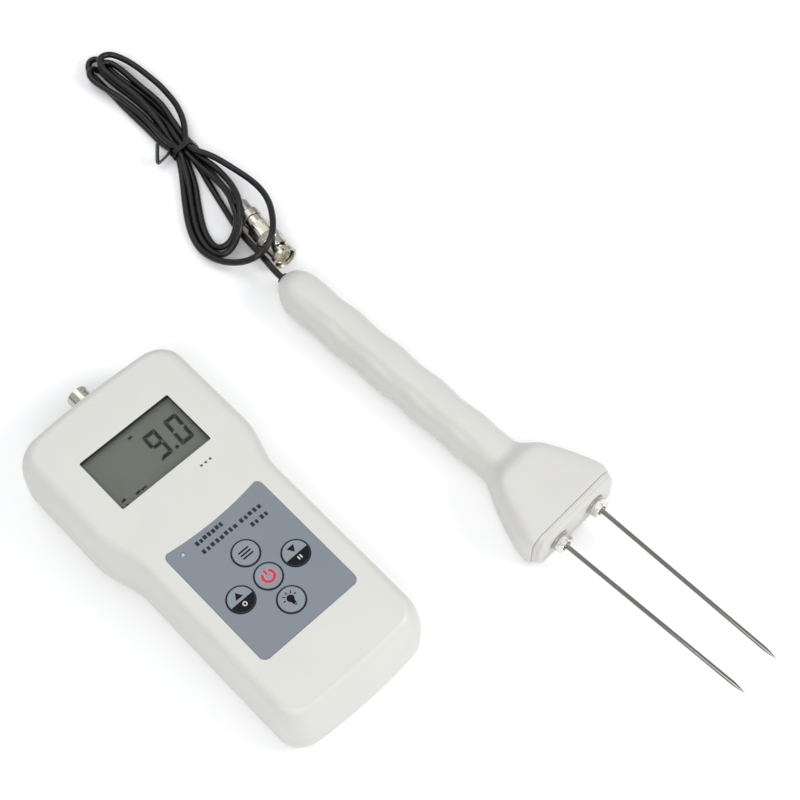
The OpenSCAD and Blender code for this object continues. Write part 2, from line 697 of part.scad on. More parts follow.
module plug_insulator() color("#f0eee6") at_plug() ring(3, 0.75, 3.5, 13.8);
module plug_pin() color("#d2b45c") at_plug() bar(0.7, 2.2, 17, 24);
module plug_ferrule() color("#b4b5b3") at_plug() difference() {
    union() {
        bar(4.6, 24.2, 28, 48);
        bar(3.5, 27.9, plug_l, 48);
    }
    bar(cord_r + 0.05, 23, plug_l + 1, 32);
}

// ---------- lead ----------
module cord_lead() color("#232323") tube(lead_route, cord_r, 1, 8);
module cord_tail() color("#232323") tube(tail_route, cord_r, 1, 8);
module cord_loop() color("#232323") tube(loop_route, cord_r, 1, 8);
module cord_hank() color("#232323") linear_extrude(hank_h) polygon(concat(near_lobe, far_lobe));
module cord_tie() color("#2b2b2b") translate([tie_at[0], tie_at[1], 0])
    rotate([0, 0, tie_turn]) difference() {
        box(-7.8, 7.8, -0.7, 0.7, 0, hank_h + 0.7);
        box(-7.1, 7.1, -1, 1, -1, hank_h);
    }

front_shell();
back_shell();
case_screws();
battery_door();
lcd_window();
lcd_panel();
lcd_frame();
backlight_panel();
zebra_strips();
keypad_overlay();
key_power();
key_fun();
key_light();
key_zero();
key_hold();
tact_switches();
main_board();
board_screws();
main_chip();
board_parts();
buzzer();
indicator_led();
jack_shell();
jack_insulator();
jack_contact();
jack_washer();
jack_nut();
jack_lead();
battery();
battery_snap();
battery_lead_red();
battery_lead_black();
probe_upper_shell();
probe_lower_shell();
probe_front_cap();
probe_screws();
needle_left();
needle_right();
needle_nuts();
needle_washers();
needle_bushes();
solder_tags();
probe_wires();
cable_gland();
cable_clamp();
plug_sleeve();
plug_body();
plug_washer();
plug_insulator();
plug_pin();
plug_ferrule();
cord_lead();
cord_tail();
cord_loop();
cord_hank();
cord_tie();
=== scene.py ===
"""Looks of the two-pin moisture meter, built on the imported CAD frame. Lengths in the tables are in mm."""
import math

import bmesh
import bpy
import numpy as np
from mathutils import Matrix, Vector
from mathutils.geometry import tessellate_polygon


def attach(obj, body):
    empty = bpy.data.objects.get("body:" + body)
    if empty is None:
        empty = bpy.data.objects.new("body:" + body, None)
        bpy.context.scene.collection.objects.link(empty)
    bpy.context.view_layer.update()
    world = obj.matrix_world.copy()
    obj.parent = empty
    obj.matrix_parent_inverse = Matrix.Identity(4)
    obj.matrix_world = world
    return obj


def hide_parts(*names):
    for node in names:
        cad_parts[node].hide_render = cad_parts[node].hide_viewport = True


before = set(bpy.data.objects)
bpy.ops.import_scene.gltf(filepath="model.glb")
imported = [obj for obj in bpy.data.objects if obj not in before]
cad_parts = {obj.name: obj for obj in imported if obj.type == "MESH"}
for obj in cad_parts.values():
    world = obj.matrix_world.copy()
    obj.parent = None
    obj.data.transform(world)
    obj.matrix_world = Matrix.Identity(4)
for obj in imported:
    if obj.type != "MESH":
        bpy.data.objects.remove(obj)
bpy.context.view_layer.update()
MM = 0.001
rad = math.radians

# ---------- the part's own dimensions, in mm, as in its CAD ----------
CASE_HL, CASE_HW, GRIP_HW, CASE_T = 81.0, 39.2, 34.0, 33.4
SPLIT_Z, WALL, CORNER_R = 10.0, 2.4, 11.0
WAIST_L, WAIST_Y = 24.0, 18.0
CROWN_Z, CROWN_R, CROWN_N = 18.0, 7.5, 2.6
FOOT_SLOPE, FOOT_R, END_BOW, SIDE_BOW, BACK_R = 4.4, 1.8, 2.6, 0.006, 5.0
PANEL_Z, FLOOR_T = 31.0, 3.2
WINDOW_W, WINDOW_H, WINDOW_Y, PANE_DROP = 43.6, 26.2, 43.5, 1.0
OVER_W, OVER_Y0, OVER_Y1, OVER_T, OVER_R, OVER_SAG = 46.8, -51.5, 5.5, 0.6, 3.0, 2.0
KEY_R, KEY_Y, KEY_DY, KEY_DX, KEY_PROUD = 5.5, -27.4, 12.7, 13.5, 0.3
KEY_BASE, FLANGE_R = 29.9, 6.1
KEYS = {"key_power": (0, KEY_Y), "key_fun": (0, KEY_Y + KEY_DY), "key_light": (0, KEY_Y - KEY_DY),
        "key_zero": (-KEY_DX, KEY_Y), "key_hold": (KEY_DX, KEY_Y)}
LED_AT, SOUND_X, SOUND_Y = (-17.3, 0.9), (11.7, 13.8, 16.0), 24.2
LCD_TOP = 30.8
CASE_SCREWS = ((-31, 68), (31, 68), (-27, -66), (27, -66))
DOOR_HW, TONGUE_HW, DOOR_Y1, DOOR_GAP, TONGUE_Z = 16.7, 18.6, -22.0, 0.2, (1.1, 2.3)
JACK_Z, BARREL_R, JACK_L = 17.0, 4.7, 8.2
JACK_HOLE_R, LUG_Y = 4.6, 5.9
PROBE_X, PROBE_Y, PROBE_TURN, PROBE_SPLIT = 98.7, 77.1, rad(2.9), 9.0
HANDLE_L, SHELL_L, CAP_S0 = 122.0, 161.5, 158.0
HANDLE_HW, HEAD_HW, HANDLE_T, HEAD_T = 8.9, 23.3, 18.0, 22.0
NEEDLE_GAP, NEEDLE_Z, NEEDLE_L, NEEDLE_R, TOE_IN, TIP_L = 20.8, 11.0, 91.0, 0.95, rad(0.7), 5.4
PROBE_SCREWS = (38, 100, 142)
CORD_D, CORD_R = 2.8, 1.4
PLUG_X, PLUG_Y, PLUG_TURN, SLEEVE_R, SLEEVE_L, PLUG_L = 106.9, 85.4, rad(-7), 5.9, 13.0, 33.8
TIE_AT, TIE_TURN = (113.5, 158.4), rad(-15)


# ---------- camera ----------
camera = bpy.data.objects.new("camera", bpy.data.cameras.new("camera"))
bpy.context.scene.collection.objects.link(camera)
bpy.context.scene.camera = camera
camera.data.lens = 84.35
camera.data.sensor_width = 36
look = Vector((0.32320, 0.34142, -0.88260)).normalized()
side = look.cross(Vector((0, 0, 1))).normalized()
camera.matrix_world = Matrix.Translation((-0.14865, -0.25488, 0.67349)) @ Matrix(
    (side, side.cross(look), -look)).transposed().to_4x4()


# ---------- places ----------
def at_probe(u, s, z):
    """A point on the probe: s from the handle's end towards the tips, u across, z up."""
    c, w = math.cos(PROBE_TURN), math.sin(PROBE_TURN)
    return Vector((PROBE_X + u * c + s * w, PROBE_Y + u * w - s * c, z))


def at_needle(hand, x, y, z):
    """A point in one needle's frame: y from the cap's face towards the handle."""
    a = -hand * TOE_IN
    u = hand * NEEDLE_GAP / 2 + x * math.cos(a) - y * math.sin(a)
    return at_probe(u, SHELL_L - (x * math.sin(a) + y * math.cos(a)), NEEDLE_Z + z)


def at_plug(x, y, z):
    c, w = math.cos(PLUG_TURN), math.sin(PLUG_TURN)
    return Vector((PLUG_X + x * c - y * w, PLUG_Y + x * w + y * c, SLEEVE_R + z))


def at_jack(x, y, z):
    return Vector((x, CASE_HL + y, JACK_Z + z))


def at_tie(w, a, z):
    """A point at the hank's tie: w across the bundle, a along it."""
    c, s = math.cos(TIE_TURN), math.sin(TIE_TURN)
    return Vector((TIE_AT[0] + w * c - a * s, TIE_AT[1] + w * s + a * c, z))


def smooth(t):
    t = min(1.0, max(0.0, t))
    return t * t * (3 - 2 * t)


def clamp01(t):
    return min(1.0, max(0.0, t))


# ---------- materials ----------
def srgb(hexa):
    c = [int(hexa[i:i + 2], 16) / 255 for i in (1, 3, 5)]
    return [v / 12.92 if v < 0.04045 else ((v + 0.055) / 1.055) ** 2.4 for v in c]


def material(name, colour, rough, spread=0.03, mottle=60, rough_spread=0.06, grain=900, grain_h=0.02,
             metal=0.0, coat=0.0, specular=0.5, streaks=None, alpha=None, fleck=None):
    """A procedural finish. colour is sRGB hex; spread is how far it varies in patches of mottle per metre;
    grain per metre and grain_h in mm make the surface's texture; streaks stretches both along one axis."""
    m = bpy.data.materials.new(name)
    m.use_nodes = True
    nt = m.node_tree
    b = nt.nodes["Principled BSDF"]
    link = nt.links.new
    place = nt.nodes.new("ShaderNodeTexCoord")
    mapping = nt.nodes.new("ShaderNodeMapping")
    mapping.inputs["Scale"].default_value = streaks or (1, 1, 1)
    link(place.outputs["Object"], mapping.inputs["Vector"])

    def noise(scale, detail=3.0):
        n = nt.nodes.new("ShaderNodeTexNoise")
        n.inputs["Scale"].default_value = scale
        n.inputs["Detail"].default_value = detail
        link(mapping.outputs["Vector"], n.inputs["Vector"])
        return n.outputs["Fac"]

    def ramp(fac, lo, hi, low_at=0.35, high_at=0.65):
        r = nt.nodes.new("ShaderNodeValToRGB")
        r.color_ramp.elements[0].position = low_at
        r.color_ramp.elements[1].position = high_at
        r.color_ramp.elements[0].color = (*lo, 1)
        r.color_ramp.elements[1].color = (*hi, 1)
        link(fac, r.inputs["Fac"])
        return r.outputs["Color"]

    base = srgb(colour)
    patches = noise(mottle)
    tone = ramp(patches, [max(0, v * (1 - spread)) for v in base], [min(1, v * (1 + spread)) for v in base])
    if fleck:
        mix = nt.nodes.new("ShaderNodeMix")
        mix.data_type = "RGBA"
        mask = ramp(noise(fleck[1], 5.0), (0, 0, 0), (1, 1, 1), fleck[2], fleck[2] + 0.1)
        link(mask, mix.inputs[0])
        link(tone, mix.inputs[6])
        mix.inputs[7].default_value = (*srgb(fleck[0]), 1)
        tone = mix.outputs[2]
    link(tone, b.inputs["Base Color"])
    fine = noise(grain, 4.0)
    lo, hi = max(0.02, rough - rough_spread), min(1, rough + rough_spread)
    link(ramp(fine, (lo, lo, lo), (hi, hi, hi), 0.3, 0.7), b.inputs["Roughness"])
    bump = nt.nodes.new("ShaderNodeBump")
    bump.inputs["Distance"].default_value = grain_h * MM
    bump.inputs["Strength"].default_value = 0.6
    link(fine, bump.inputs["Height"])
    link(bump.outputs["Normal"], b.inputs["Normal"])
    b.inputs["Metallic"].default_value = metal
    b.inputs["Coat Weight"].default_value = coat
    b.inputs["Coat Roughness"].default_value = 0.15
    b.inputs["Specular IOR Level"].default_value = specular
    if alpha is not None:
        b.inputs["Alpha"].default_value = alpha
    return m


CASE = material("case_plastic", "#CBCBC5", 0.42, spread=0.012, mottle=35, grain=1800, grain_h=0.02)
CASE_BACK = material("case_plastic_back", "#CFCFCA", 0.46, spread=0.015, mottle=35, grain=1500, grain_h=0.03)
PROBE_SKIN = material("probe_plastic", "#CAC9C4", 0.38, spread=0.012, mottle=45, grain=1800, grain_h=0.02)
PANE = material("window_pane", "#3A3F3A", 0.08, spread=0.01, grain=700, grain_h=0.002, rough_spread=0.02,
                alpha=0.10)
LCD = material("lcd_glass", "#646A5F", 0.32, spread=0.025, mottle=45, grain=2500, grain_h=0.004)
SEGMENT = material("lcd_segment", "#070A07", 0.45, spread=0.05, mottle=300, grain=2500, grain_h=0.002,
                   specular=0.2)
OVERLAY = material("overlay_film", "#747B83", 0.42, spread=0.02, mottle=50, grain=3000, grain_h=0.012)
KEY_FACE = material("key_face", "#7B838B", 0.38, spread=0.02, mottle=120, grain=3000, grain_h=0.012)


def fine_finish(name, colour, rough=0.42, spread=0.05, specular=0.5):
    return material(name, colour, rough, spread, mottle=500, grain=3500, grain_h=0.004, specular=specular)


# Dark print for the text rows, also used as painted shade: the key rims and thin rings on the overlay round
# them take it, darkening the gap between key and overlay.
DARK_PRINT_AND_GROOVE_SHADE = fine_finish("print_dark_and_groove_shade", "#1E2733", 0.6, 0.08, 0.25)
INK_BLACK = fine_finish("print_black", "#08090B", 0.65, 0.08, 0.2)
INK_RED = fine_finish("print_red", "#B5242B", spread=0.06)
INK_HALO = fine_finish("print_halo", "#B77F8C")
INK_WHITE = fine_finish("print_white", "#C9CCD0")
NICKEL = material("nickel_plate", "#C6C1B6", 0.20, spread=0.05, mottle=220, rough_spread=0.08, grain=1500,
                  grain_h=0.006, metal=1.0, fleck=("#8F897D", 420, 0.66))
NUT_PLATE = material("nut_plate", "#E2DFD8", 0.24, spread=0.04, mottle=260, rough_spread=0.06, grain=1800,
                     grain_h=0.005, metal=1.0)
NICKEL_DULL = material("nickel_crimp", "#BDB9B1", 0.30, spread=0.06, mottle=260, grain=1800, grain_h=0.01,
                       metal=1.0, fleck=("#7F796E", 500, 0.62))
STEEL = material("zinc_steel", "#A8A8A6", 0.36, spread=0.06, mottle=300, grain=2200, grain_h=0.008, metal=1.0)
WASHER = material("washer_steel", "#B9B8B2", 0.42, spread=0.08, mottle=300, grain=2200, grain_h=0.01,
                  metal=1.0)
# Painted shade: the needle steel is coloured darker than the steel's own, standing in for the dark
# reflections along the needle.
NEEDLE = material("needle_steel", "#8E8C88", 0.12, spread=0.05, mottle=150, rough_spread=0.07, grain=900,
                  grain_h=0.004, metal=1.0, streaks=(6, 0.6, 6))
GOLD = material("gold_flash", "#C9A14A", 0.28, spread=0.06, mottle=300, grain=2000, grain_h=0.005, metal=1.0)
PTFE = material("ptfe", "#EDEAE2", 0.5, spread=0.02, mottle=200, grain=2500, grain_h=0.01)
CORD_SKIN = material("cord_jacket", "#09090A", 0.34, spread=0.16, mottle=140, rough_spread=0.1, grain=1600,
                     grain_h=0.03, specular=0.45)
TIE_SKIN = material("tie_plastic", "#101012", 0.34, spread=0.1, mottle=300, grain=2500, grain_h=0.01)
RUBBER = material("rubber_black", "#1B1B1C", 0.62, spread=0.12, mottle=200, grain=2500, grain_h=0.03)
HOLDER = material("holder_plastic", "#DCDCD6", 0.5, spread=0.02, mottle=100, grain=1500, grain_h=0.02)
GLOW = material("backlight_sheet", "#E9EEE2", 0.5, spread=0.02, mottle=80, grain=1500, grain_h=0.01)
BOARD = material("board_green", "#2C5E3C", 0.35, spread=0.12, mottle=260, grain=1500, grain_h=0.01, coat=0.2)
PARTS = material("moulded_parts", "#B08D55", 0.4, spread=0.12, mottle=200, grain=1500, grain_h=0.02)
CHIP = material("chip_black", "#1C1C1E", 0.5, spread=0.1, mottle=300, grain=2500, grain_h=0.02)
# Painted highlight: the LED lens is coloured pale bluish for the light it catches in its dimple.
LED_LENS_HIGHLIGHT = material("led_lens_highlight", "#A9B8C6", 0.18, spread=0.05, mottle=300, grain=1500, grain_h=0.003, coat=0.4)
JACKET = material("battery_jacket", "#4A5462", 0.34, spread=0.08, mottle=90, grain=1200, grain_h=0.02,
                  metal=0.3)
WIRE_RED = material("wire_red", "#A82A22", 0.4, spread=0.08, mottle=300, grain=2500, grain_h=0.02)
WIRE_BLACK = material("wire_black", "#19191B", 0.4, spread=0.1, mottle=300, grain=2500, grain_h=0.02)
# Painted shade: dark grey for the inner walls of the display window, which lie in shadow.
WINDOW_WALL_SHADE = material("window_wall_shade", "#2E302D", 0.5, spread=0.1, mottle=300, grain=2500, grain_h=0.01)
FLOOR = material("studio_floor", "#FBFBFB", 0.85, spread=0.003, mottle=6, grain=400, grain_h=0.02,
                 specular=0.1)

CARRIED = {
    "case_screws": STEEL, "lcd_panel": LCD, "lcd_frame": HOLDER, "backlight_panel": GLOW,
    "zebra_strips": RUBBER, "tact_switches": CHIP, "main_board": BOARD, "board_screws": STEEL,
    "main_chip": CHIP, "board_parts": PARTS, "buzzer": CHIP, "indicator_led": LED_LENS_HIGHLIGHT,
    "jack_insulator": PTFE, "jack_contact": GOLD, "jack_washer": STEEL, "jack_nut": NICKEL_DULL,
    "jack_lead": WIRE_BLACK, "battery": JACKET, "battery_snap": RUBBER, "battery_lead_red": WIRE_RED,
    "battery_lead_black": WIRE_BLACK, "probe_screws": STEEL, "needle_bushes": PTFE, "solder_tags": GOLD,
    "probe_wires": WIRE_RED, "cable_gland": RUBBER, "cable_clamp": HOLDER, "plug_washer": WASHER,
    "plug_insulator": PTFE, "plug_pin": GOLD, "lcd_window": PANE,
}
for node, finish in CARRIED.items():
    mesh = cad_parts[node].data
    mesh.materials.clear()
    mesh.materials.append(finish)


# ---------- mesh helpers ----------
def piece(name, points, faces, finish, body=None, slot=None, replaces=(), sharp=32, finishes=None, extra=()):
    """A new object from points in mm. finishes gives each face's material index; extra are more materials."""
    mesh = bpy.data.meshes.new(name)
    mesh.from_pydata([tuple(c * MM for c in p) for p in points], [], [tuple(f) for f in faces])
    for m in (finish, *extra):
        mesh.materials.append(m)
    if finishes:
        mesh.polygons.foreach_set("material_index", finishes)
    obj = bpy.data.objects.new(name, mesh)
    bpy.context.scene.collection.objects.link(obj)
    tidy(obj, sharp)
    if body:
        settle(obj, body, replaces)
    return obj


def tidy(obj, sharp=32):
    """Outward normals and smooth shading, with creases at real edges."""
    bm = bmesh.new()
    bm.from_mesh(obj.data)
    bmesh.ops.remove_doubles(bm, verts=bm.verts, dist=1e-7)
    bmesh.ops.recalc_face_normals(bm, faces=bm.faces)
    bm.to_mesh(obj.data)
    bm.free()
    obj.data.polygons.foreach_set("use_smooth", [True] * len(obj.data.polygons))
    obj.data.set_sharp_from_angle(angle=rad(sharp))
    obj.data.update()


def settle(obj, body, replaces=()):
    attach(obj, body)
    if replaces:
        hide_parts(*replaces)
    return obj


def loft(rings, first=True, last=True, closed=True):
    """Points and faces through a stack of equal rings, with flat caps."""
    n = len(rings[0])
    points = [p for r in rings for p in r]
    faces = []
    for k in range(len(rings) - 1):
        for i in range(n if closed else n - 1):
            j = (i + 1) % n
            faces.append((k * n + i, k * n + j, (k + 1) * n + j, (k + 1) * n + i))
    if first:
        faces.append(tuple(range(n - 1, -1, -1)))
    if last:
        faces.append(tuple(range((len(rings) - 1) * n, len(rings) * n)))
    return points, faces


def join(*parts):
    """Several (points, faces) as one."""
    points, faces = [], []
    for p, f in parts:
        base = len(points)
        points += list(p)
        faces += [tuple(i + base for i in face) for face in f]
    return points, faces


def circle(r, n=48, x=0.0, y=0.0, start=0.0):
    return [(x + r * math.cos(start + 2 * math.pi * i / n), y + r * math.sin(start + 2 * math.pi * i / n))
            for i in range(n)]


def turns(n):
    """n angles evenly round a circle."""
    return np.linspace(0, math.tau, n + 1)[:-1]


def ring_about(place, y, r, n):
    """A ring about the Y axis of a local frame, which place maps to the model's."""
    return [place(r * math.cos(t), y, r * math.sin(t)) for t in turns(n)]


def tower(levels, x, y, n=48):
    """A solid of round levels, given as (r, z) pairs, standing at x, y."""
    return loft([[(px, py, z) for px, py in circle(r, n, x, y)] for r, z in levels])


def box_loft(x0, x1, y0, y1, z0, z1):
    return loft([[(x0, y0, z), (x1, y0, z), (x1, y1, z), (x0, y1, z)] for z in (z0, z1)])


def carve(obj, *shapes, operation="DIFFERENCE"):
    """Cuts each shape, given as (points, faces) in mm, out of obj."""
    for shape in shapes:
        tool = bpy.data.objects.new("tool", bpy.data.meshes.new("tool"))
        tool.data.from_pydata([tuple(c * MM for c in p) for p in shape[0]], [], shape[1])
        bpy.context.scene.collection.objects.link(tool)
        bm = bmesh.new()
        bm.from_mesh(tool.data)
        bmesh.ops.recalc_face_normals(bm, faces=bm.faces)
        bm.to_mesh(tool.data)
        bm.free()
        mod = obj.modifiers.new("carve", "BOOLEAN")
        mod.operation = operation
        mod.solver = "EXACT"
        mod.object = tool
        bpy.context.view_layer.objects.active = obj
        bpy.ops.object.modifier_apply(modifier=mod.name)
        bpy.data.objects.remove(tool)
    return obj


def flared(outline, z0, z1, flare, above=1.0):
    """A cutter with straight walls from z0 to z1 and a small chamfer of that size at z1.
    outline(grow) gives its loop of (x, y)."""
    rings = [[(x, y, z) for x, y in outline(g)]
             for z, g in ((z0, 0), (z1 - flare, 0), (z1, flare), (z1 + above, flare))]
    return loft(rings)


def rounded_rect(w, h, r, steps=6, cx=0.0, cy=0.0):
    pts = []
    for qx, qy, a0 in ((1, 1, 0), (-1, 1, 90), (-1, -1, 180), (1, -1, 270)):
        for i in range(steps + 1):
            a = rad(a0 + 90 * i / steps)
            pts.append((cx + qx * (w / 2 - r) + r * math.cos(a), cy + qy * (h / 2 - r) + r * math.sin(a)))
    return pts


def flat_patch(loops, z):
    """A flat triangulated patch at height z: the first loop is its edge, the others are holes."""
    vecs = [[Vector((x, y, 0)) for x, y in loop] for loop in loops]
    points = [(x, y, z) for loop in loops for x, y in loop]
    return points, [tuple(t) for t in tessellate_polygon(vecs)]


# ---------- case outline ----------
def width_share(y):
    share = (GRIP_HW + (CASE_HW - GRIP_HW) * smooth((y - WAIST_Y) / WAIST_L + 0.5)) / CASE_HW
    return share * (1 + SIDE_BOW * (1 - (y / CASE_HL) ** 2))


def case_loop(z, inset, top, foot, arc=12, long=60, short=24):
    w, l1, l0 = CASE_HW - inset, CASE_HL - top, CASE_HL - foot
    r = CORNER_R - min(inset, top) * 0.5
    plain = [(w, -l0 + r + (l0 + l1 - 2 * r) * i / long) for i in range(1, long + 1)]
    plain += [(w - r + r * math.cos(a), l1 - r + r * math.sin(a)) for a in quarter(arc)]
    plain += [((w - r) * (1 - 2 * i / short), l1) for i in range(1, short + 1)]
    plain += [(-w + r - r * math.sin(a), l1 - r + r * math.cos(a)) for a in quarter(arc)]
    plain += [(-w, l1 - r - (l0 + l1 - 2 * r) * i / long) for i in range(1, long + 1)]
    plain += [(-w + r - r * math.cos(a), -l0 + r - r * math.sin(a)) for a in quarter(arc)]
    plain += [((w - r) * (-1 + 2 * i / short), -l0) for i in range(1, short + 1)]
    plain += [(w - r + r * math.sin(a), -l0 + r - r * math.cos(a)) for a in quarter(arc)]
    return [(x * width_share(y), y - math.copysign(END_BOW * (x / CASE_HW) ** 2 * (abs(y) / CASE_HL) ** 8,
            y), z) for x, y in plain]


def quarter(steps):
    return [math.pi / 2 * i / steps for i in range(1, steps + 1)]


def front_loop(a, top=CASE_T, extra=0.0):
    z = CROWN_Z + (top - CROWN_Z) * math.sin(a) ** (2 / CROWN_N)
    t = (z - CROWN_Z) / (top - CROWN_Z)
    d = CROWN_R * (1 - max(0, math.cos(a)) ** (2 / CROWN_N))
    return case_loop(z, d + extra, d * 0.9 + extra, FOOT_SLOPE * t + FOOT_R * t ** 12 + extra)


def back_loop(a, low=0.0, extra=0.0):
    d = BACK_R * (1 - math.cos(a)) + extra
    return case_loop(low + (SPLIT_Z - low) * (1 - math.sin(a)), d, d, d)


def level(z, d):
    return case_loop(z, d, d, d)


def overlay_outline(grow=0.0):
    """The overlay's outline: rounded corners and a top edge that sags in the middle."""
    hw, top, y0, r = OVER_W / 2 + grow, OVER_Y1 + grow, OVER_Y0 - grow, OVER_R
    big = (hw ** 2 + OVER_SAG ** 2) / (2 * OVER_SAG)
    pts = [(-hw + r - r * math.cos(a), y0 + r - r * math.sin(a)) for a in quarter(8)]
    pts += [(hw - r + r * math.sin(a), y0 + r - r * math.cos(a)) for a in quarter(8)]
    pts.append((hw, top - r))
    for i in range(1, 60):
        x = hw * math.cos(math.pi * i / 60)
        over = abs(x) - (hw - r)
        corner = top if over <= 0 else top - r + math.sqrt(max(0, r * r - over * over))
        pts.append((x, min(corner, top - OVER_SAG + big - math.sqrt(big * big - x * x))))
    pts.append((-hw, top - r))
    return pts


def tube_z(x, y, r1, r0, z0, z1, n=32):
    """A round post with a bore."""
    rings = [[(px, py, z) for px, py in circle(r, n, x, y)] for r,
             z in ((r0, z0), (r1, z0), (r1, z1), (r0, z1))]
    points = [p for ring in rings for p in ring]
    faces = []
    for k in range(4):
        m = (k + 1) % 4
        faces += [(k * n + i, k * n + (i + 1) % n, m * n + (i + 1) % n, m * n + i) for i in range(n)]
    return points, faces


def hole_z(x, y, r, z0, z1, flare=0.0, n=48):
    if not flare:
        return tower([(r, z0), (r, z1)], x, y, n)
    return flared(lambda g: circle(r + g, n, x, y), z0, z1, flare)


def add(obj, *shapes):
    """Adds separate closed shapes to an object's mesh."""
    bm = bmesh.new()
    bm.from_mesh(obj.data)
    for points, faces in shapes:
        verts = [bm.verts.new(tuple(c * MM for c in p)) for p in points]
        for f in faces:
            bm.faces.new([verts[i] for i in f])
    bm.to_mesh(obj.data)
    bm.free()
    return obj


# ---------- front shell ----------
LIP = 0.22
front = piece("front_shell_look", *loft( [level(SPLIT_Z, LIP),
                                          level(SPLIT_Z + LIP, 0)] + [front_loop(rad(a)) for a in (0,
        *range(4, 92, 4))]), CASE)
inner = loft([level(SPLIT_Z - 1, WALL)] + [front_loop(rad(a), PANEL_Z, WALL) for a in range(0, 91, 15)])
window = flared(lambda g: rounded_rect(WINDOW_W + 2 * g, WINDOW_H + 2 * g, 0.7 + g, 5, 0, WINDOW_Y),
                PANEL_Z - 1, CASE_T, 0.12)
recess = flared(lambda g: overlay_outline(0.06 + g), CASE_T - OVER_T, CASE_T, 0.12)
holes = [hole_z(x, y, KEY_R + 0.25, PANEL_Z - 1, CASE_T + 1, n=64) for x, y in KEYS.values()]
holes += [hole_z(x, SOUND_Y, 0.55, PANEL_Z - 1, CASE_T, 0.15, n=24) for x in SOUND_X]
holes.append(hole_z(*LED_AT, 1.65, PANEL_Z - 1, CASE_T + 1))
jack_hole = loft([ring_about(at_jack, y, JACK_HOLE_R, 48) for y in (-10, 1)])
carve(front, inner, window, recess, *holes, jack_hole)
BOARD_SCREWS = ((-25, 63.6), (25, 63.6), (-20.5, -46.5), (20.5, -46.5))
LOW_BOSS_Z, BOARD_TOP = 26.5, 25.1
add(front, *[tube_z(x, y, 3.6, 1.35, SPLIT_Z, PANEL_Z if y > 0 else LOW_BOSS_Z) for x, y in CASE_SCREWS],
    *[tube_z(x, y, 2.8, 0.95, BOARD_TOP, PANEL_Z) for x, y in BOARD_SCREWS])
# The display window's inner walls get the dark grey: painted shade, where these walls lie in shadow.
front.data.materials.append(WINDOW_WALL_SHADE)
for face in front.data.polygons:
    x, y, z = (c / MM for c in face.center)
    in_window = abs(x) < WINDOW_W / 2 + 0.3 and abs(y - WINDOW_Y) < WINDOW_H / 2 + 0.3
    if in_window and PANEL_Z - 0.1 < z < CASE_T - 0.13 and abs(face.normal.z) < 0.5:
        face.material_index = 1
tidy(front, 28)
settle(front, "meter", ["front_shell"])

# ---------- back shell and battery door ----------
BACK_ANGLES = [rad(a) for a in range(90, -1, -6)]
back = piece("back_shell_look", *loft([back_loop(a) for a in BACK_ANGLES[:-1]]
                                      + [level(SPLIT_Z - LIP, 0), level(SPLIT_Z, LIP)]), CASE_BACK)
back_inner = loft([back_loop(rad(a), FLOOR_T, WALL) for a in range(90, -1, -15)] + [level(SPLIT_Z + 1, WALL)])


def door_boxes(gap, y0):
    return (box_loft(-DOOR_HW - gap, DOOR_HW + gap, y0, DOOR_Y1 + gap, -1, TONGUE_Z[0] + 0.01),
            box_loft(-TONGUE_HW - gap, TONGUE_HW + gap, y0, DOOR_Y1 + gap, TONGUE_Z[0] - gap,
                     TONGUE_Z[1] + gap))


bores = []
for x, y in CASE_SCREWS:
    bores.append(hole_z(x, y, 1.7, -1, 20))
    bores.append(tower([(3.45, -1), (3.3, 0), (3.0, 0.3), (3.0, 4)], x, y))
carve(back, back_inner, box_loft(-14.4, 14.4, -75, -24, -1, FLOOR_T + 1), *door_boxes(DOOR_GAP, -CASE_HL - 5))
add(back, *[tube_z(x, y, 4.2, 3.0, 1, 4) for x, y in CASE_SCREWS],
    *[tube_z(x, y, 4.2, 1.7, 4, SPLIT_Z) for x, y in CASE_SCREWS],
    box_loft(-16.6, -15, -77, -20, 3, 18), box_loft(15, 16.6, -77, -20, 3, 18),
    box_loft(-15.5, 15.5, -20, -18.4, 3, 12))
carve(back, *bores)
tidy(back, 28)
settle(back, "meter", ["back_shell"])

door = piece("battery_door_look", *loft([back_loop(a) for a in BACK_ANGLES[:-1]] + [level(SPLIT_Z, 0)]),
             CASE_BACK)
plate_low, plate_tongue = door_boxes(0, -CASE_HL - 5)
tongue = piece("tongue", *plate_tongue, CASE_BACK)
carve(tongue, plate_low, operation="UNION")
door_tool = ([tuple(c / MM for c in v.co) for v in tongue.data.vertices],
             [tuple(p.vertices) for p in tongue.data.polygons])
bpy.data.objects.remove(tongue)
carve(door, door_tool, operation="INTERSECT")
grips = []
for i in range(6):
    y = -72 + i * 2.4
    grips.append(loft([[(px, py, z) for px, py in rounded_rect(17 + g, 1.1 + g, 0.5 + g / 2, 5, 0, y)]
                       for g, z in ((0.5, -0.5), (0.5, 0), (0, 0.55))]))
arrow = [(-3.2, -58.6), (3.2, -58.6), (0, -54.2)]
grips.append(loft([[(x, y, z) for x, y in arrow] for z in (-1, 0.35)]))
carve(door, *grips)
tidy(door, 28)
settle(door, "battery_door", ["battery_door"])

# ---------- display ----------
pane_z = CASE_T - PANE_DROP
pane = piece("lcd_window_look", *loft(
    [[(x, y, z) for x, y in rounded_rect(WINDOW_W - g, WINDOW_H - g, 0.6, 5, 0, WINDOW_Y)]
     for g, z in ((0.2, pane_z - 1.2), (0.2, pane_z - 0.15), (0.5, pane_z))]), PANE)
settle(pane, "meter", ["lcd_window"])


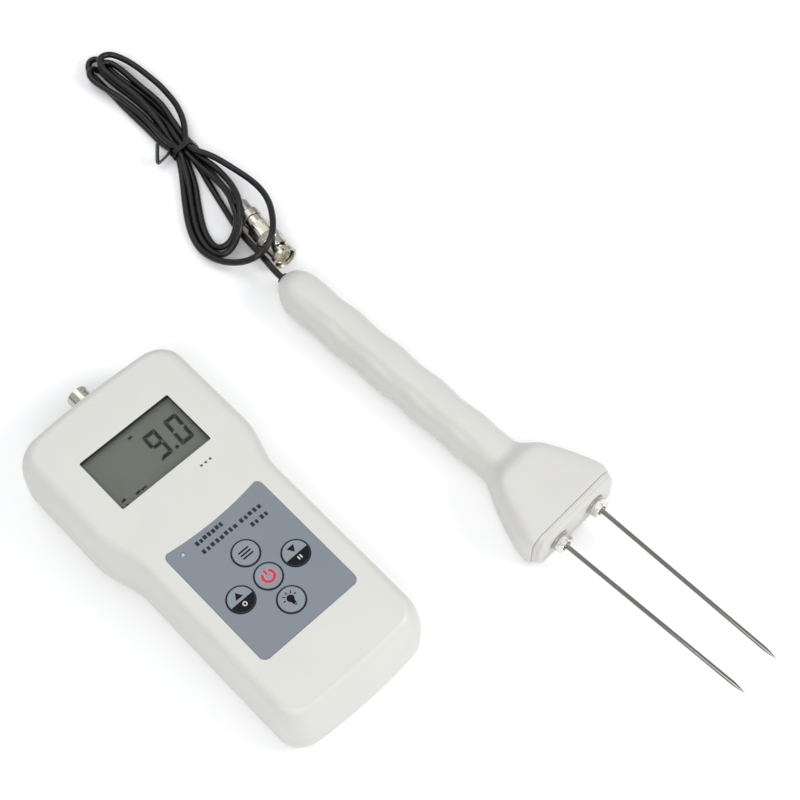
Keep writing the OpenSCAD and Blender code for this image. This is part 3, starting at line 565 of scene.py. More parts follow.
def slab(levels):
    """A plate through levels of (z, loops); the first loop of each is its edge, the others are holes."""
    n = sum(len(loop) for loop in levels[0][1])
    points, faces = [], []
    for z, loops in levels:
        points += [(x, y, z) for loop in loops for x, y in loop]
    for k in (0, len(levels) - 1):
        faces += [tuple(i + k * n for i in f) for f in flat_patch(levels[k][1], 0)[1]]
    for k in range(len(levels) - 1):
        at = k * n
        for loop in levels[k][1]:
            m = len(loop)
            faces += [(at + i, at + (i + 1) % m, at + n + (i + 1) % m, at + n + i) for i in range(m)]
            at += m
    return points, faces


# ---------- flat marks: prints, segments and painted shade ---
def flat_marks(name, z, body, items):
    """Flat shapes just above a surface, for prints, display segments and the painted shade round the keys:
    items are (finish, z step, loops).
    """
    finishes, points, faces, marks = [], [], [], []
    for finish, step, loops in items:
        if finish not in finishes:
            finishes.append(finish)
        p, f = flat_patch(loops, z + 0.015 * step)
        marks += [finishes.index(finish)] * len(f)
        faces += [tuple(i + len(points) for i in t) for t in f]
        points += p
    mesh = bpy.data.meshes.new(name)
    mesh.from_pydata([tuple(c * MM for c in p) for p in points], [], faces)
    for m in finishes:
        mesh.materials.append(m)
    mesh.polygons.foreach_set("material_index", marks)
    obj = bpy.data.objects.new(name, mesh)
    bpy.context.scene.collection.objects.link(obj)
    bm = bmesh.new()
    bm.from_mesh(mesh)
    for f in bm.faces:
        if f.normal.z < 0:
            f.normal_flip()
    bm.to_mesh(mesh)
    bm.free()
    return settle(obj, body)


def bar_loop(x0, x1, y0, y1, cx=0.0, cy=0.0):
    return [(cx + x0, cy + y0), (cx + x1, cy + y0), (cx + x1, cy + y1), (cx + x0, cy + y1)]


def arc_loop(r0, r1, a0, a1, cx=0.0, cy=0.0, n=40):
    angles = [rad(a0 + (a1 - a0) * i / n) for i in range(n + 1)]
    return ([(cx + r1 * math.cos(a), cy + r1 * math.sin(a)) for a in angles]
            + [(cx + r0 * math.cos(a), cy + r0 * math.sin(a)) for a in reversed(angles)])


def segment_digit(x, y, w, h, t, on, lean=0.06):
    """Loops of a seven-segment digit; on names its lit segments."""
    g, m = 0.18, h / 2
    bars = {
        "a": [(g, h), (w - g, h), (w - t, h - t), (t, h - t)],
        "d": [(t, t), (w - t, t), (w - g, 0), (g, 0)],
        "g": [(t * 0.9, m + t / 2), (w - t * 0.9, m + t / 2), (w - t * 0.5, m), (w - t * 0.9, m - t / 2),
              (t * 0.9, m - t / 2), (t * 0.5, m)],
        "f": [(0, m + g), (0, h - g), (t - g, h - t), (t - g, m + t / 2)],
        "e": [(0, g), (0, m - g), (t - g, m - t / 2), (t - g, t)],
        "b": [(w, m + g), (w, h - g), (w - t + g, h - t), (w - t + g, m + t / 2)],
        "c": [(w, g), (w, m - g), (w - t + g, m - t / 2), (w - t + g, t)],
    }
    return [[(x + px + lean * py, y + py) for px, py in bars[k]] for k in on]


DIGIT = (6.2, 13.0, 1.75)
digits = segment_digit(2.3, 37.0, *DIGIT, "abcdfg") + segment_digit(12.6, 36.7, *DIGIT, "abcdef")
lcd_marks = [(SEGMENT, 1, [loop]) for loop in digits]
lcd_marks.append((SEGMENT, 1, [circle(0.85, 20, 10.7, 37.7)]))
# Small dark marks near the display's lower left corner, and one near its top edge, in the segments' colour.
lcd_marks += [(SEGMENT, 1, [bar_loop(*b)]) for b in ((-0.9, 0.9, 52.6, 53.6), (-19.6, -17.7, 33.6, 34.8),
        (-19.2, -18.2, 31.2, 32.2), (-13.6, -11.4, 32.6, 33.6), (-11.0, -8.4, 32.6, 33.4))]
flat_marks("lcd_marks", LCD_TOP, "meter", lcd_marks)

# ---------- keypad ----------
key_holes = [circle(KEY_R + 0.15, 64, x, y) for x, y in KEYS.values()] + [circle(0.9, 32, *LED_AT)]
key_holes_wide = [circle(KEY_R + 0.19, 64, x, y) for x, y in KEYS.values()] + [circle(0.98, 32, *LED_AT)]
piece("keypad_overlay_look", *slab([ (CASE_T - OVER_T, [overlay_outline(-0.04)] + key_holes),
                                    (CASE_T - 0.06, [overlay_outline(-0.04)] + key_holes),
                                    (CASE_T, [overlay_outline(-0.1)] + key_holes_wide)]), OVERLAY, "meter",
      "overlay", ["keypad_overlay"], 18)

# The LED is coloured pale bluish: painted highlight.
led = tower([(1.9, 25.1), (1.9, 26.1), (1.45, 26.1), (1.45, 30.9), (1.3, 31.5), (0.84, 31.9), (0.84, 33.0),
             (0.72, 33.2), (0.45, 33.3), (0.02, 33.33)], *LED_AT, 32)
piece("indicator_led_look", *led, LED_LENS_HIGHLIGHT, "meter", "led_red", ["indicator_led"], 40)

KEY_TOP = CASE_T + KEY_PROUD
FLANGE_TOP = 30.85
key_profile = [(0.01, KEY_BASE), (FLANGE_R, KEY_BASE), (FLANGE_R, FLANGE_TOP), (KEY_R, FLANGE_TOP),
               (KEY_R, KEY_TOP - 0.25),
               (KEY_R - 0.05, KEY_TOP - 0.12), (KEY_R - 0.14, KEY_TOP - 0.03), (KEY_R - 0.25, KEY_TOP),
               (KEY_R - 0.48, KEY_TOP)]
KEY_SIDES = 72
for name, (x, y) in KEYS.items():
    points, faces = tower(key_profile, x, y, KEY_SIDES)
    # The key's rim and flanks take the dark colour: painted shade of the gap round the key.
    flank_shade = [1 if i < KEY_SIDES * (len(key_profile) - 1) else 0 for i in range(len(faces))]
    flank_shade[-2] = 1
    piece(name + "_look", points, faces, KEY_FACE, name, "key_dark" if name in ("key_zero", "key_hold")
                else "key_grey", [name], 40, flank_shade, [DARK_PRINT_AND_GROOVE_SHADE])

# Thin dark rings on the overlay round each key: painted shade of the gap round the key.
flat_marks("key_groove_shade", CASE_T, "meter",
       [(DARK_PRINT_AND_GROOVE_SHADE, 1, [circle(5.78, 64, x, y), circle(KEY_R + 0.2, 64, x, y)]) for x, y in KEYS.values()])


def power_icon(cx, cy):
    return [(INK_HALO, 1, [arc_loop(1.3, 3.2, 118, 422, cx, cy)]),
            (INK_HALO, 1, [bar_loop(-0.55, 0.55, 0.6, 3.2, cx, cy)]),
            (INK_RED, 2, [arc_loop(1.75, 2.85, 128, 412, cx, cy)]),
            (INK_RED, 2, [bar_loop(-0.38, 0.38, 0.7, 3.0, cx, cy)])]


def black(*loops):
    return [(INK_BLACK, 1, [loop]) for loop in loops]


def lower_band(cx, cy, r=KEY_R - 0.47, chord=-0.5):
    a = math.degrees(math.asin(chord / r))
    return [(cx + r * math.cos(rad(t)), cy + r * math.sin(rad(t))) for t in np.linspace(180 - a, 360 + a, 40)]


kx, ky = KEYS["key_power"]
flat_marks("power_mark", KEY_TOP, "key_power", power_icon(kx, ky))
kx, ky = KEYS["key_fun"]
flat_marks("fun_mark", KEY_TOP, "key_fun",
       black(*[bar_loop(-2.4, 2.4, d - 0.32, d + 0.32, kx, ky) for d in (-1.4, 0, 1.4)]))
kx, ky = KEYS["key_light"]
bulb_y = ky + 0.5
ray = ((2.0, -0.2), (3.1, -0.2), (3.1, 0.2), (2.0, 0.2))
rays = []
for a in (10, 50, 90, 130, 170):
    c, s = math.cos(rad(a)), math.sin(rad(a))
    rays.append([(kx + c * r - s * w, bulb_y + s * r + c * w) for r, w in ray])
flat_marks("light_mark", KEY_TOP, "key_light",
       black(circle(1.5, 32, kx, bulb_y), bar_loop(-0.75, 0.75, -2.1, -0.6, kx, ky),
             bar_loop(-0.5, 0.5, -2.8, -2.35, kx, ky), *rays))
kx, ky = KEYS["key_zero"]
up_arrow = [(kx - 1.7, ky + 0.7), (kx + 1.7, ky + 0.7), (kx, ky + 3.4)]
flat_marks("zero_mark", KEY_TOP, "key_zero", black(lower_band(kx, ky), up_arrow)
       + [(INK_WHITE, 2, [circle(0.95, 24, kx, ky - 2.3), circle(0.55, 24, kx, ky - 2.3)])])
kx, ky = KEYS["key_hold"]
down_arrow = [(kx - 1.7, ky + 3.3), (kx, ky + 0.6), (kx + 1.7, ky + 3.3)]
flat_marks("hold_mark", KEY_TOP, "key_hold", black(lower_band(kx, ky), down_arrow)
       + [(INK_WHITE, 2, [bar_loop(x, x + 0.5, -3.1, -1.5, kx, ky)]) for x in (-0.8, 0.3)])

rows = []
for y, x0, gap, groups in ((0.55, -11.3, 0.6, (7,)), (-3.6, -11.5, 0.85, (8, 5)), (-7.6, 8.9, 0.7, (2, 2))):
    x = x0
    for count in groups:
        for k in range(count):
            width = (1.35, 1.15, 1.5, 1.25, 1.4)[k % 5]
            low, high = ((-0.95, 0.95), (-0.95, 0.7), (-0.75, 0.95))[k % 3]
            rows.append((DARK_PRINT_AND_GROOVE_SHADE, 1, [bar_loop(x, x + width, y + low, y + high)]))
            x += width + gap
        x += gap
flat_marks("overlay_rows", CASE_T, "meter", rows)


# ---------- jack ----------
jack_profile = [
    (-8, 2.7), (-8, 4.3), (-7.8, 4.5), (-0.02, 4.5), (-0.02, 6.2), (0.9, 6.2), (1.2, 5.95),
    (1.2, BARREL_R), (JACK_L - 0.35, BARREL_R), (JACK_L, BARREL_R - 0.3), (JACK_L, 4.3),
    (JACK_L - 0.15, 4.15), (1.5, 4.15), (1.5, 2.7), (-8, 2.7)
]
rings = [ring_about(at_jack, y, r, 64) for y, r in jack_profile]
lugs = []
for turn in (rad(30), rad(210)):
    out = Vector((math.sin(turn), 0, math.cos(turn)))
    across = Vector((math.cos(turn), 0, -math.sin(turn)))
    root = Vector(at_jack(0, LUG_Y, 0))
    lugs.append(loft([[root + out * h + across * r * math.cos(t) + Vector((0, r * math.sin(t),
            0)) for t in turns(24)] for h, r in ((4.3, 0.9), (5.4, 0.9), (5.6, 0.72))]))
piece("jack_shell_look", *join(loft(rings, False, False), *lugs), NICKEL, "meter", "nickel", ["jack_shell"],
      34)

# ---------- probe shells ----------
SHELL_S = ([0.6, 1.2, 2, 3, 4, 5.2, 6.5, 8, 10, 12, 14, 16, 18, 20,
            23] + list(np.arange(25, 121, 1.5)) + [121.5, 123, 124.5, 126, 127.5, 129, 131, 133, 135, 137.5,
        140, 143, 146, 149, 151.5, 153.5, 154.5, 155.5, 156.3, 157, 157.6, CAP_S0])


def probe_hw(s):
    nose = HANDLE_HW * math.sqrt(max(0.05, 1 - (1 - clamp01(s / 13)) ** 2))
    wave = 0.35 * math.sin(math.tau * (s - 8) / 23) * clamp01((s - 14) / 10) * clamp01((118 - s) / 8)
    flare = (HEAD_HW - HANDLE_HW) * (1 - (1 - clamp01((s - HANDLE_L) / 33)) ** 1.3)
    corner = 5 * (1 - math.sqrt(1 - clamp01((s - 154.5) / 5) ** 2 * 0.75))
    return nose + wave + flare - corner


def probe_top(s):
    nose = 9 * math.sqrt(max(0.05, 1 - (1 - clamp01(s / 11)) ** 2))
    rise = (HEAD_T - HANDLE_T) * smooth((s - HANDLE_L - 1) / 9)
    return PROBE_SPLIT + nose * (HANDLE_T - PROBE_SPLIT) / 9 + rise


def probe_low(s):
    return PROBE_SPLIT * (1 - math.sqrt(max(0.05, 1 - (1 - clamp01(s / 9)) ** 2)))


def squareness(s):
    return 2.7 + 2.8 * smooth((s - HANDLE_L) / 14)


def power(v, n):
    return math.copysign(abs(v) ** n, v)


def half_ring(s, up, inset=0.0, steps=36):
    """Half of the probe's section, from +u round to -u (up) or back (down)."""
    w = probe_hw(s) - inset
    if up:
        h, n = probe_top(s) - inset - PROBE_SPLIT, squareness(s)
    else:
        h, n = PROBE_SPLIT - probe_low(s) - inset, squareness(s) + 1
    ring = []
    for i in range(steps + 1):
        a = math.pi * i / steps
        u, z = w * power(math.cos(a), 2 / n), h * power(math.sin(a), 2 / n)
        ring.append((u, z) if up else (-u, -z))
    return ring


def dished(s, u, z):
    """The finger grip: a shallow lengthwise valley on the handle's top and scallops along its shoulders."""
    along = smooth((s - 12) / 14) * smooth((HANDLE_L - 2 - s) / 14)
    lift = z / max(0.1, probe_top(s) - PROBE_SPLIT)
    middle = -5.1 + 0.25 * math.sin(math.tau * (s - 5) / 23)
    valley = 0.6 * math.exp(-((u - middle) / 1.5) ** 2)
    scallop = 0.35 * (0.5 - 0.5 * math.cos(math.tau * (s - 14) / 23)) * smooth((abs(u) - 4.5) / 3)
    return z - along * smooth((lift - 0.25) / 0.5) * (valley + scallop)


def at_split(u, s, z):
    return at_probe(u, s, PROBE_SPLIT + z)


def probe_shell(name, up):
    seam = 0.18
    outer = []
    for s in SHELL_S:
        ring = half_ring(s, up)
        if up:
            ring = [(u, dished(s, u, z)) for u, z in ring]
        w = abs(ring[0][0])
        sign = 1 if up else -1
        ring[0] = (ring[0][0] - math.copysign(seam, ring[0][0]), 0)
        ring.insert(1, (math.copysign(w, ring[0][0]), sign * seam))
        ring[-1] = (ring[-1][0] - math.copysign(seam, ring[-1][0]), 0)
        ring.insert(-1, (math.copysign(w, ring[-1][0]), sign * seam))
        outer.append([at_probe(u, s, PROBE_SPLIT + z) for u, z in ring])
    shell = piece(name + "_look", *loft(outer), PROBE_SKIN)
    if not up:
        places = [at_probe(0, s, 0) for s in PROBE_SCREWS]
        carve(shell, *[tower([(2.8, -1), (2.7, 0), (2.4, 0.3), (2.4, 2.6)], c.x, c.y, 40) for c in places])
    inner = []
    for s in [4] + [t for t in SHELL_S if t > 4.5][::3] + [CAP_S0 + 1]:
        ring = half_ring(s, up, 2.0, 18)
        low = -1 if up else 1
        ring += [(ring[-1][0], low), (ring[0][0], low)]
        inner.append([at_probe(u, s, PROBE_SPLIT + z) for u, z in ring])
    mouth = loft([ring_about(at_split, s, r, 40) for s, r in ((8, 2.65), (0.9, 2.65), (0.4, 3.1), (-2, 3.1))])
    carve(shell, loft(inner), mouth)
    posts = []
    for s in PROBE_SCREWS:
        c = at_probe(0, s, 0)
        if up:
            top = PROBE_SPLIT + (8 if s < HANDLE_L else 12)
            posts.append(tube_z(c.x, c.y, 2.8 if s < HANDLE_L else 3.2, 1.15, PROBE_SPLIT, top))
        else:
            posts.append(tube_z(c.x, c.y, 3.2, 2.43, 1, 2.6))
            posts.append(tube_z(c.x, c.y, 3.2, 1.35, 2.6, PROBE_SPLIT))
    add(shell, *posts)
    tidy(shell, 30)
    settle(shell, "probe", [name])


probe_shell("probe_upper_shell", True)
probe_shell("probe_lower_shell", False)


# ---------- front cap, nuts and needles ----------
def cap_ring(w, h, r, s):
    return [at_probe(x, s, NEEDLE_Z + y) for x, y in rounded_rect(w, h, r, 8)]


cap = loft([cap_ring(43.1, 18.9, 4.8, CAP_S0), cap_ring(43.6, 19.4, 5, CAP_S0 + 0.25),
            cap_ring(43.6, 19.4, 5, 159.5), cap_ring(43.2, 19.0, 4.8, 159.75),
            cap_ring(42.4, 18.2, 4.5, 159.75), cap_ring(42.4, 18.2, 4.5, 161.1),
            cap_ring(42.2, 18.0, 4.4, 161.35), cap_ring(41.7, 17.5, 4.2, SHELL_L)])
spigot = loft([cap_ring(36, 14.6, 3, CAP_S0), cap_ring(36, 14.6, 3, CAP_S0 - 2.6),
               cap_ring(33, 11.6, 2, CAP_S0 - 2.6), cap_ring(33, 11.6, 2, CAP_S0)], False, False)
piece("probe_front_cap_look", *join(cap, spigot), PROBE_SKIN, "probe", "case_white", ["probe_front_cap"], 30)


def hex_nut(place, y0, y1, across, bore, turn=0.0, crown=0.35, n=72):
    """A hexagon nut with both faces crowned; across is its corner radius."""
    def reach(t, cap_r):
        flat = across * math.cos(rad(30)) / math.cos((t - turn) % rad(60) - rad(30))
        return min(flat, cap_r)
    small = across * 0.91
    loops = [(y0, small), (y0 + crown, across), (y1 - crown, across), (y1, small)]
    outer = [[place(reach(t, r) * math.cos(t), y, reach(t, r) * math.sin(t)) for t in turns(n)] for y,
             r in loops]
    inner = [ring_about(place, y, bore, n) for y in (y1, y0)]
    return loft(outer + inner + [outer[0]], False, False)


def beside(hand):
    """The local frame of the left (-1) or right (1) needle."""
    return lambda x, y, z: at_needle(hand, x, y, z)


for hand, name in ((-1, "needle_left"), (1, "needle_right")):
    thread = []
    y = 8.4
    while y > -4.2:
        thread += [(y, 1.9), (y - 0.17, 2.0), (y - 0.34, 1.9)]
        y -= 0.36
    shank = [(-4.6, 1.98), (-4.8, NEEDLE_R)]
    tip = [(TIP_L - NEEDLE_L, NEEDLE_R), (TIP_L * 0.5 - NEEDLE_L, NEEDLE_R * 0.62), (1.0 - NEEDLE_L, 0.22),
           (0.25 - NEEDLE_L, 0.09), (-NEEDLE_L, 0.02)]
    rod = loft([ring_about(beside(hand), y, r, 48) for y, r in [(8.4, 0.01)] + thread + shank + tip])
    piece(name + "_look", *rod, NEEDLE, "probe", "needle_steel", [name], 30)

NUT_R, NUT_BORE = 4.04, 2.03
nuts, washers = [], []
for hand in (-1, 1):
    place = beside(hand)
    nuts += [hex_nut(place, y0, y1, NUT_R, NUT_BORE, rad(15)) for y0, y1 in ((-4.2, -0.9), (6, 8))]
    washers.append(loft([ring_about(place, y, r, 48) for y, r in ((-0.15, 2.1), (-0.15, 4.42), (-0.22, 4.5),
            (-0.78, 4.5), (-0.85, 4.42), (-0.85, 2.1), (-0.15, 2.1))], False, False))
piece("needle_nuts_look", *join(*nuts), NUT_PLATE, "probe", "nickel", ["needle_nuts"], 28)
piece("needle_washers_look", *join(*washers), WASHER, "probe", "steel", ["needle_washers"], 30)

# ---------- cable gland ----------
gland_profile = [(-7.6, 1.45), (-7.6, 3.4), (-4.4, 3.4), (-4.4, 2.6), (0.2, 2.6), (0.45, 2.5), (0.6, 2.2),
                 (0.6, 1.7), (0.4, 1.45), (-7.6, 1.45)]
rings = [ring_about(at_split, -y, r, 40) for y, r in gland_profile]
piece("cable_gland_look", *loft(rings, False, False), RUBBER, "probe", "rubber_dark", ["cable_gland"], 34)


# ---------- plug ----------
def on_plug(profile, n=96, wave=None):
    """A ring-shaped turned piece on the plug's axis; wave(y, t) adds to the radius."""
    loops = []
    for y, r in profile:
        loops.append([at_plug((r + (wave(y, t) if wave else 0)) * math.cos(t), y,
                              (r + (wave(y, t) if wave else 0)) * math.sin(t))
                      for t in turns(n)])
    return loft(loops, False, False)


def knurl(y, t):
    return -0.16 * (0.5 - 0.5 * math.cos(36 * t)) ** 2 if 9.9 < y < 12.9 else 0


sleeve_profile = [
    (0, 4.95), (0, SLEEVE_R - 0.3), (0.25, SLEEVE_R - 0.04), (0.5, SLEEVE_R), (1.9, SLEEVE_R),
    (2.2, SLEEVE_R - 0.3), (2.4, SLEEVE_R - 0.38), (9.1, SLEEVE_R - 0.38), (9.4, SLEEVE_R - 0.1),
    (9.6, SLEEVE_R), (9.85, SLEEVE_R), (9.95, SLEEVE_R), (12.6, SLEEVE_R), (12.85, SLEEVE_R - 0.12),
    (SLEEVE_L, SLEEVE_R - 0.3), (SLEEVE_L, 4.08), (11.2, 4.08), (11.2, 4.78), (0.2, 4.78), (0, 4.95)
]
sleeve = piece("plug_sleeve_look", *on_plug(sleeve_profile, 216, knurl), NICKEL)


def plug_box(turn, x0, x1, y0, y1, z0, z1):
    c, s = math.cos(turn), math.sin(turn)
    return loft([[at_plug(x * c + z * s, y, -x * s + z * c) for x,
                  y in ((x0, y0), (x1, y0), (x1, y1), (x0, y1))] for z in (z0, z1)])


for turn in (0, math.pi):
    carve(sleeve, plug_box(turn, -1, 1, -1, 5, 4, 8), plug_box(turn, -1, 4.4, 3.2, 5.2, 3.4, 5.9))
tidy(sleeve, 30)
settle(sleeve, "plug_sleeve", ["plug_sleeve"])

body_front = on_plug([(1.5, 3.1), (1.5, 3.85), (1.65, 4), (9, 4), (9, 4.7), (10.6, 4.7), (10.6, 4),
                      (13.25, 4), (13.25, 3.1), (1.5, 3.1)], 72)
body_hex = hex_nut(at_plug, 13.2, 20.2, 5.4, 2.2, 0, 0.5)
body_back = on_plug([(20.1, 2.2), (20.1, 4.3), (23.75, 4.3), (24, 4.1), (24, 2.2), (20.1, 2.2)], 72)
piece("plug_body_look", *join(body_front, body_hex, body_back), NICKEL, "probe", "nickel", ["plug_body"], 30)


def crimp(y, t):
    dent = 0.22 * abs(math.cos(3 * t)) ** 3
    return -dent * smooth((y - 28.4) / 0.6) * smooth((PLUG_L - 0.9 - y) / 0.6)


ferrule = on_plug([(24.2, 1.45), (24.2, 4.45), (24.35, 4.6), (27.6, 4.6), (27.95, 4.3), (28.0, 3.5),
                   (28.4, 3.5), (29, 3.5), (29.6, 3.5), (30.5, 3.5), (31.4, 3.5), (32.3, 3.5), (32.9, 3.5),
                   (33.5, 3.5), (33.7, 3.4), (PLUG_L, 3.2), (PLUG_L, 1.75), (PLUG_L - 0.3, 1.45),
                   (24.2, 1.45)], 96, crimp)
piece("plug_ferrule_look", *ferrule, NICKEL_DULL, "probe", "nickel", ["plug_ferrule"], 30)


# ---------- lead ----------
def tie_points(w, z, a=(-3, 0, 3)):
    return [tuple(at_tie(w, k, z + TIE_LIFT)) for k in a]


TIE_LIFT = 0.72
LEAD = [(98.6, 80.5, 9), (98.9, 84, 9), (99.4, 87.5, 8.9), (100.1, 92.5, 8.4), (101, 99, 7), (102.2, 107, 5),
        (104, 115.3, 3.4), (106.3, 123.2, 2.2), (108.3, 131, 1.5), (110.3, 139, 1.5), (112.6, 146.8, 1.4)]
B_UP = [
    (114.9, 165, 1.4), (115.3, 173, 2), (115.6, 182, 3.2), (115.4, 191, 3.8), (114.6, 200, 3.8),
    (113.9, 209, 3.8), (113.8, 216.5, 4), (115.4, 220.4, 4.2), (118, 220.6, 4.2), (119.9, 217.7, 4)
]
B_DOWN = [
    (121.1, 212, 4), (121.3, 204.2, 4), (121.5, 196.3, 4), (121.8, 189.7, 4), (121.5, 182.5, 4),
    (119.8, 175.4, 4), (118.8, 170.2, 4), (118, 165.5, 4)
]
N2 = [
    (116.1, 147.6, 5.0), (116.6, 141, 5.4), (116, 134.3, 6), (114.4, 127.6, 8.4), (111.6, 120.6, 10.8),
    (107.9, 114.4, 10.9), (104.2, 110.2, 10), (100.4, 107.4, 8.4), (96.5, 105.6, 6.2), (92.8, 104.8, 4.8),
    (89.6, 106, 3.6), (88.2, 110, 2.4), (88.8, 117.3, 1.6), (90.8, 122.9, 1.4), (93.9, 128.7, 1.4),
    (99.4, 137.5, 1.6), (104.8, 146.3, 2)
]
D_UP = [
    (110.4, 166, 3.8), (110.8, 172.5, 3.8), (111.5, 180.2, 3.8), (111.8, 187.4, 3.8), (111, 195.7, 3.8),
    (109.9, 203.7, 3.8), (108.8, 210.3, 4), (108.1, 214.5, 4.2), (108.4, 218.6, 4.2), (110.3, 221.2, 3.8),
    (113.2, 220.8, 2.8), (115.2, 217, 1.8)
]
D_DOWN = [
    (115.9, 211, 1.5), (117, 200, 1.4), (118, 191, 1.4), (117.8, 182, 1.6), (116.4, 174, 2.8),
    (114.8, 166.5, 3.6)
]
N3 = [
    (112.3, 143.5, 5), (112.4, 137, 5.6), (111.8, 131, 6.8), (109.9, 124, 8.4), (107.4, 117.8, 9.3),
    (104.2, 112.4, 8.8), (100.2, 109.4, 7.2), (96, 108, 5.2), (92.6, 108.6, 3.8), (90.3, 111.4, 2.4),
    (90.7, 116.7, 1.6), (92.5, 122.1, 1.4), (95.3, 127.4, 1.4), (100.8, 136.2, 1.6), (106.2, 145, 2)
]
A_UP = [
    (113.2, 167, 2.4), (114.2, 174, 4), (115.2, 182, 5.4), (115.8, 190, 6.2), (115.6, 198, 6.4),
    (114.8, 206, 6.4), (114.3, 214, 6.4), (115.2, 219.6, 6.4), (119.1, 222.1, 6), (122, 221.1, 5.5)
]
A_DOWN = [
    (124.2, 218, 5), (126, 213.3, 4.5), (127.3, 206.8, 4), (127.8, 199.3, 4), (128.1, 192.6, 4),
    (127.5, 186.2, 4), (126.5, 179.8, 4.5), (124.4, 173.8, 5), (121.7, 168.3, 5.5)
]
N1 = [
    (118.5, 146.7, 7.2), (120.2, 140, 7), (121.4, 133.3, 7), (122.3, 126.6, 7.4), (122.3, 119.8, 8.2),
    (121, 113.3, 9.4), (118.4, 107.2, 11), (114.4, 101, 12.6), (110.2, 96, 13.6), (106.2, 93, 13.9),
    (101.9, 91.3, 13.4), (97.6, 91.4, 12), (94, 93.8, 9.2), (91, 97.2, 7), (88.4, 101.2, 5.4),
    (86.6, 105.8, 4), (85.9, 110.6, 2.6), (86.1, 116, 1.6), (87.2, 121.6, 1.4), (89.3, 127.2, 1.4),
    (92.8, 133.3, 1.4), (97.3, 139.6, 1.4), (102.2, 146, 1.4)
]
C_UP = [
    (109.2, 170.3, 1.4), (109.6, 177.8, 1.4), (109.6, 186.7, 1.4), (109.9, 196, 1.4), (110.3, 204, 1.4),
    (110.3, 210, 1.4), (110.6, 216, 1.5), (111.2, 221.5, 2), (113, 225.4, 3.8), (116, 226, 3.8),
    (118.4, 223.2, 2.6), (118.6, 219, 1.6)
]
C_DOWN = [(118.4, 209, 1.4), (119.8, 200, 1.4), (120.6, 191, 1.4), (120.6, 182, 1.4), (119.4, 174, 1.4)]
TAIL = [(116, 148, 1.8), (114.8, 141.5, 2.4), (113.6, 135, 3.2), (112.6, 128.5, 4.6), (111.8, 123.5, 5.6)]
ends_in_plug = [tuple(at_plug(0, y, 0)) for y in (33.8, 31, 28)]
starts_in_probe = [tuple(at_probe(0, s, PROBE_SPLIT)) for s in (9, 6, 3, 0)]

DOWN = (3, 0, -3)
legs = [starts_in_probe, LEAD, tie_points(1.4, 1.4), B_UP, B_DOWN, tie_points(2.8, 3.82, DOWN), N2,
        tie_points(-2.8, 3.82), D_UP, D_DOWN, tie_points(0, 3.82, DOWN), N3, tie_points(-1.4, 1.4), A_UP,
        A_DOWN, tie_points(2.0, 6.25, DOWN), N1, tie_points(-4.2, 1.4), C_UP, C_DOWN,
        tie_points(4.2, 1.4, DOWN), TAIL, ends_in_plug]
route = [point for leg in legs for point in leg]


def catmull(points, steps=12):
    p = np.array([points[0]] + list(points) + [points[-1]], float)
    out = []
    for i in range(1, len(p) - 2):
        a, b, c, d = p[i - 1:i + 3]
        for t in np.linspace(0, 1, steps, endpoint=False):
            out.append(0.5 * (2 * b + (c - a) * t + (2 * a - 5 * b + 4 * c - d) * t * t
                              + (3 * b - a - 3 * c + d) * t ** 3))
    out.append(p[-2])
    return np.array(out)


def respace(p, step):
    run = np.concatenate([[0], np.cumsum(np.linalg.norm(np.diff(p, axis=0), axis=1))])
    n = max(2, int(round(run[-1] / step)))
    return np.array([[np.interp(t, run, p[:, k]) for k in range(3)] for t in np.linspace(0, run[-1], n + 1)])


GAP = CORD_D + 0.04
MIN_BEND = 6.2


def plug_radius(l):
    return 5.95 if l < 13 else 5.45 if l < 24 else 4.65 if l < 28 else 3.55


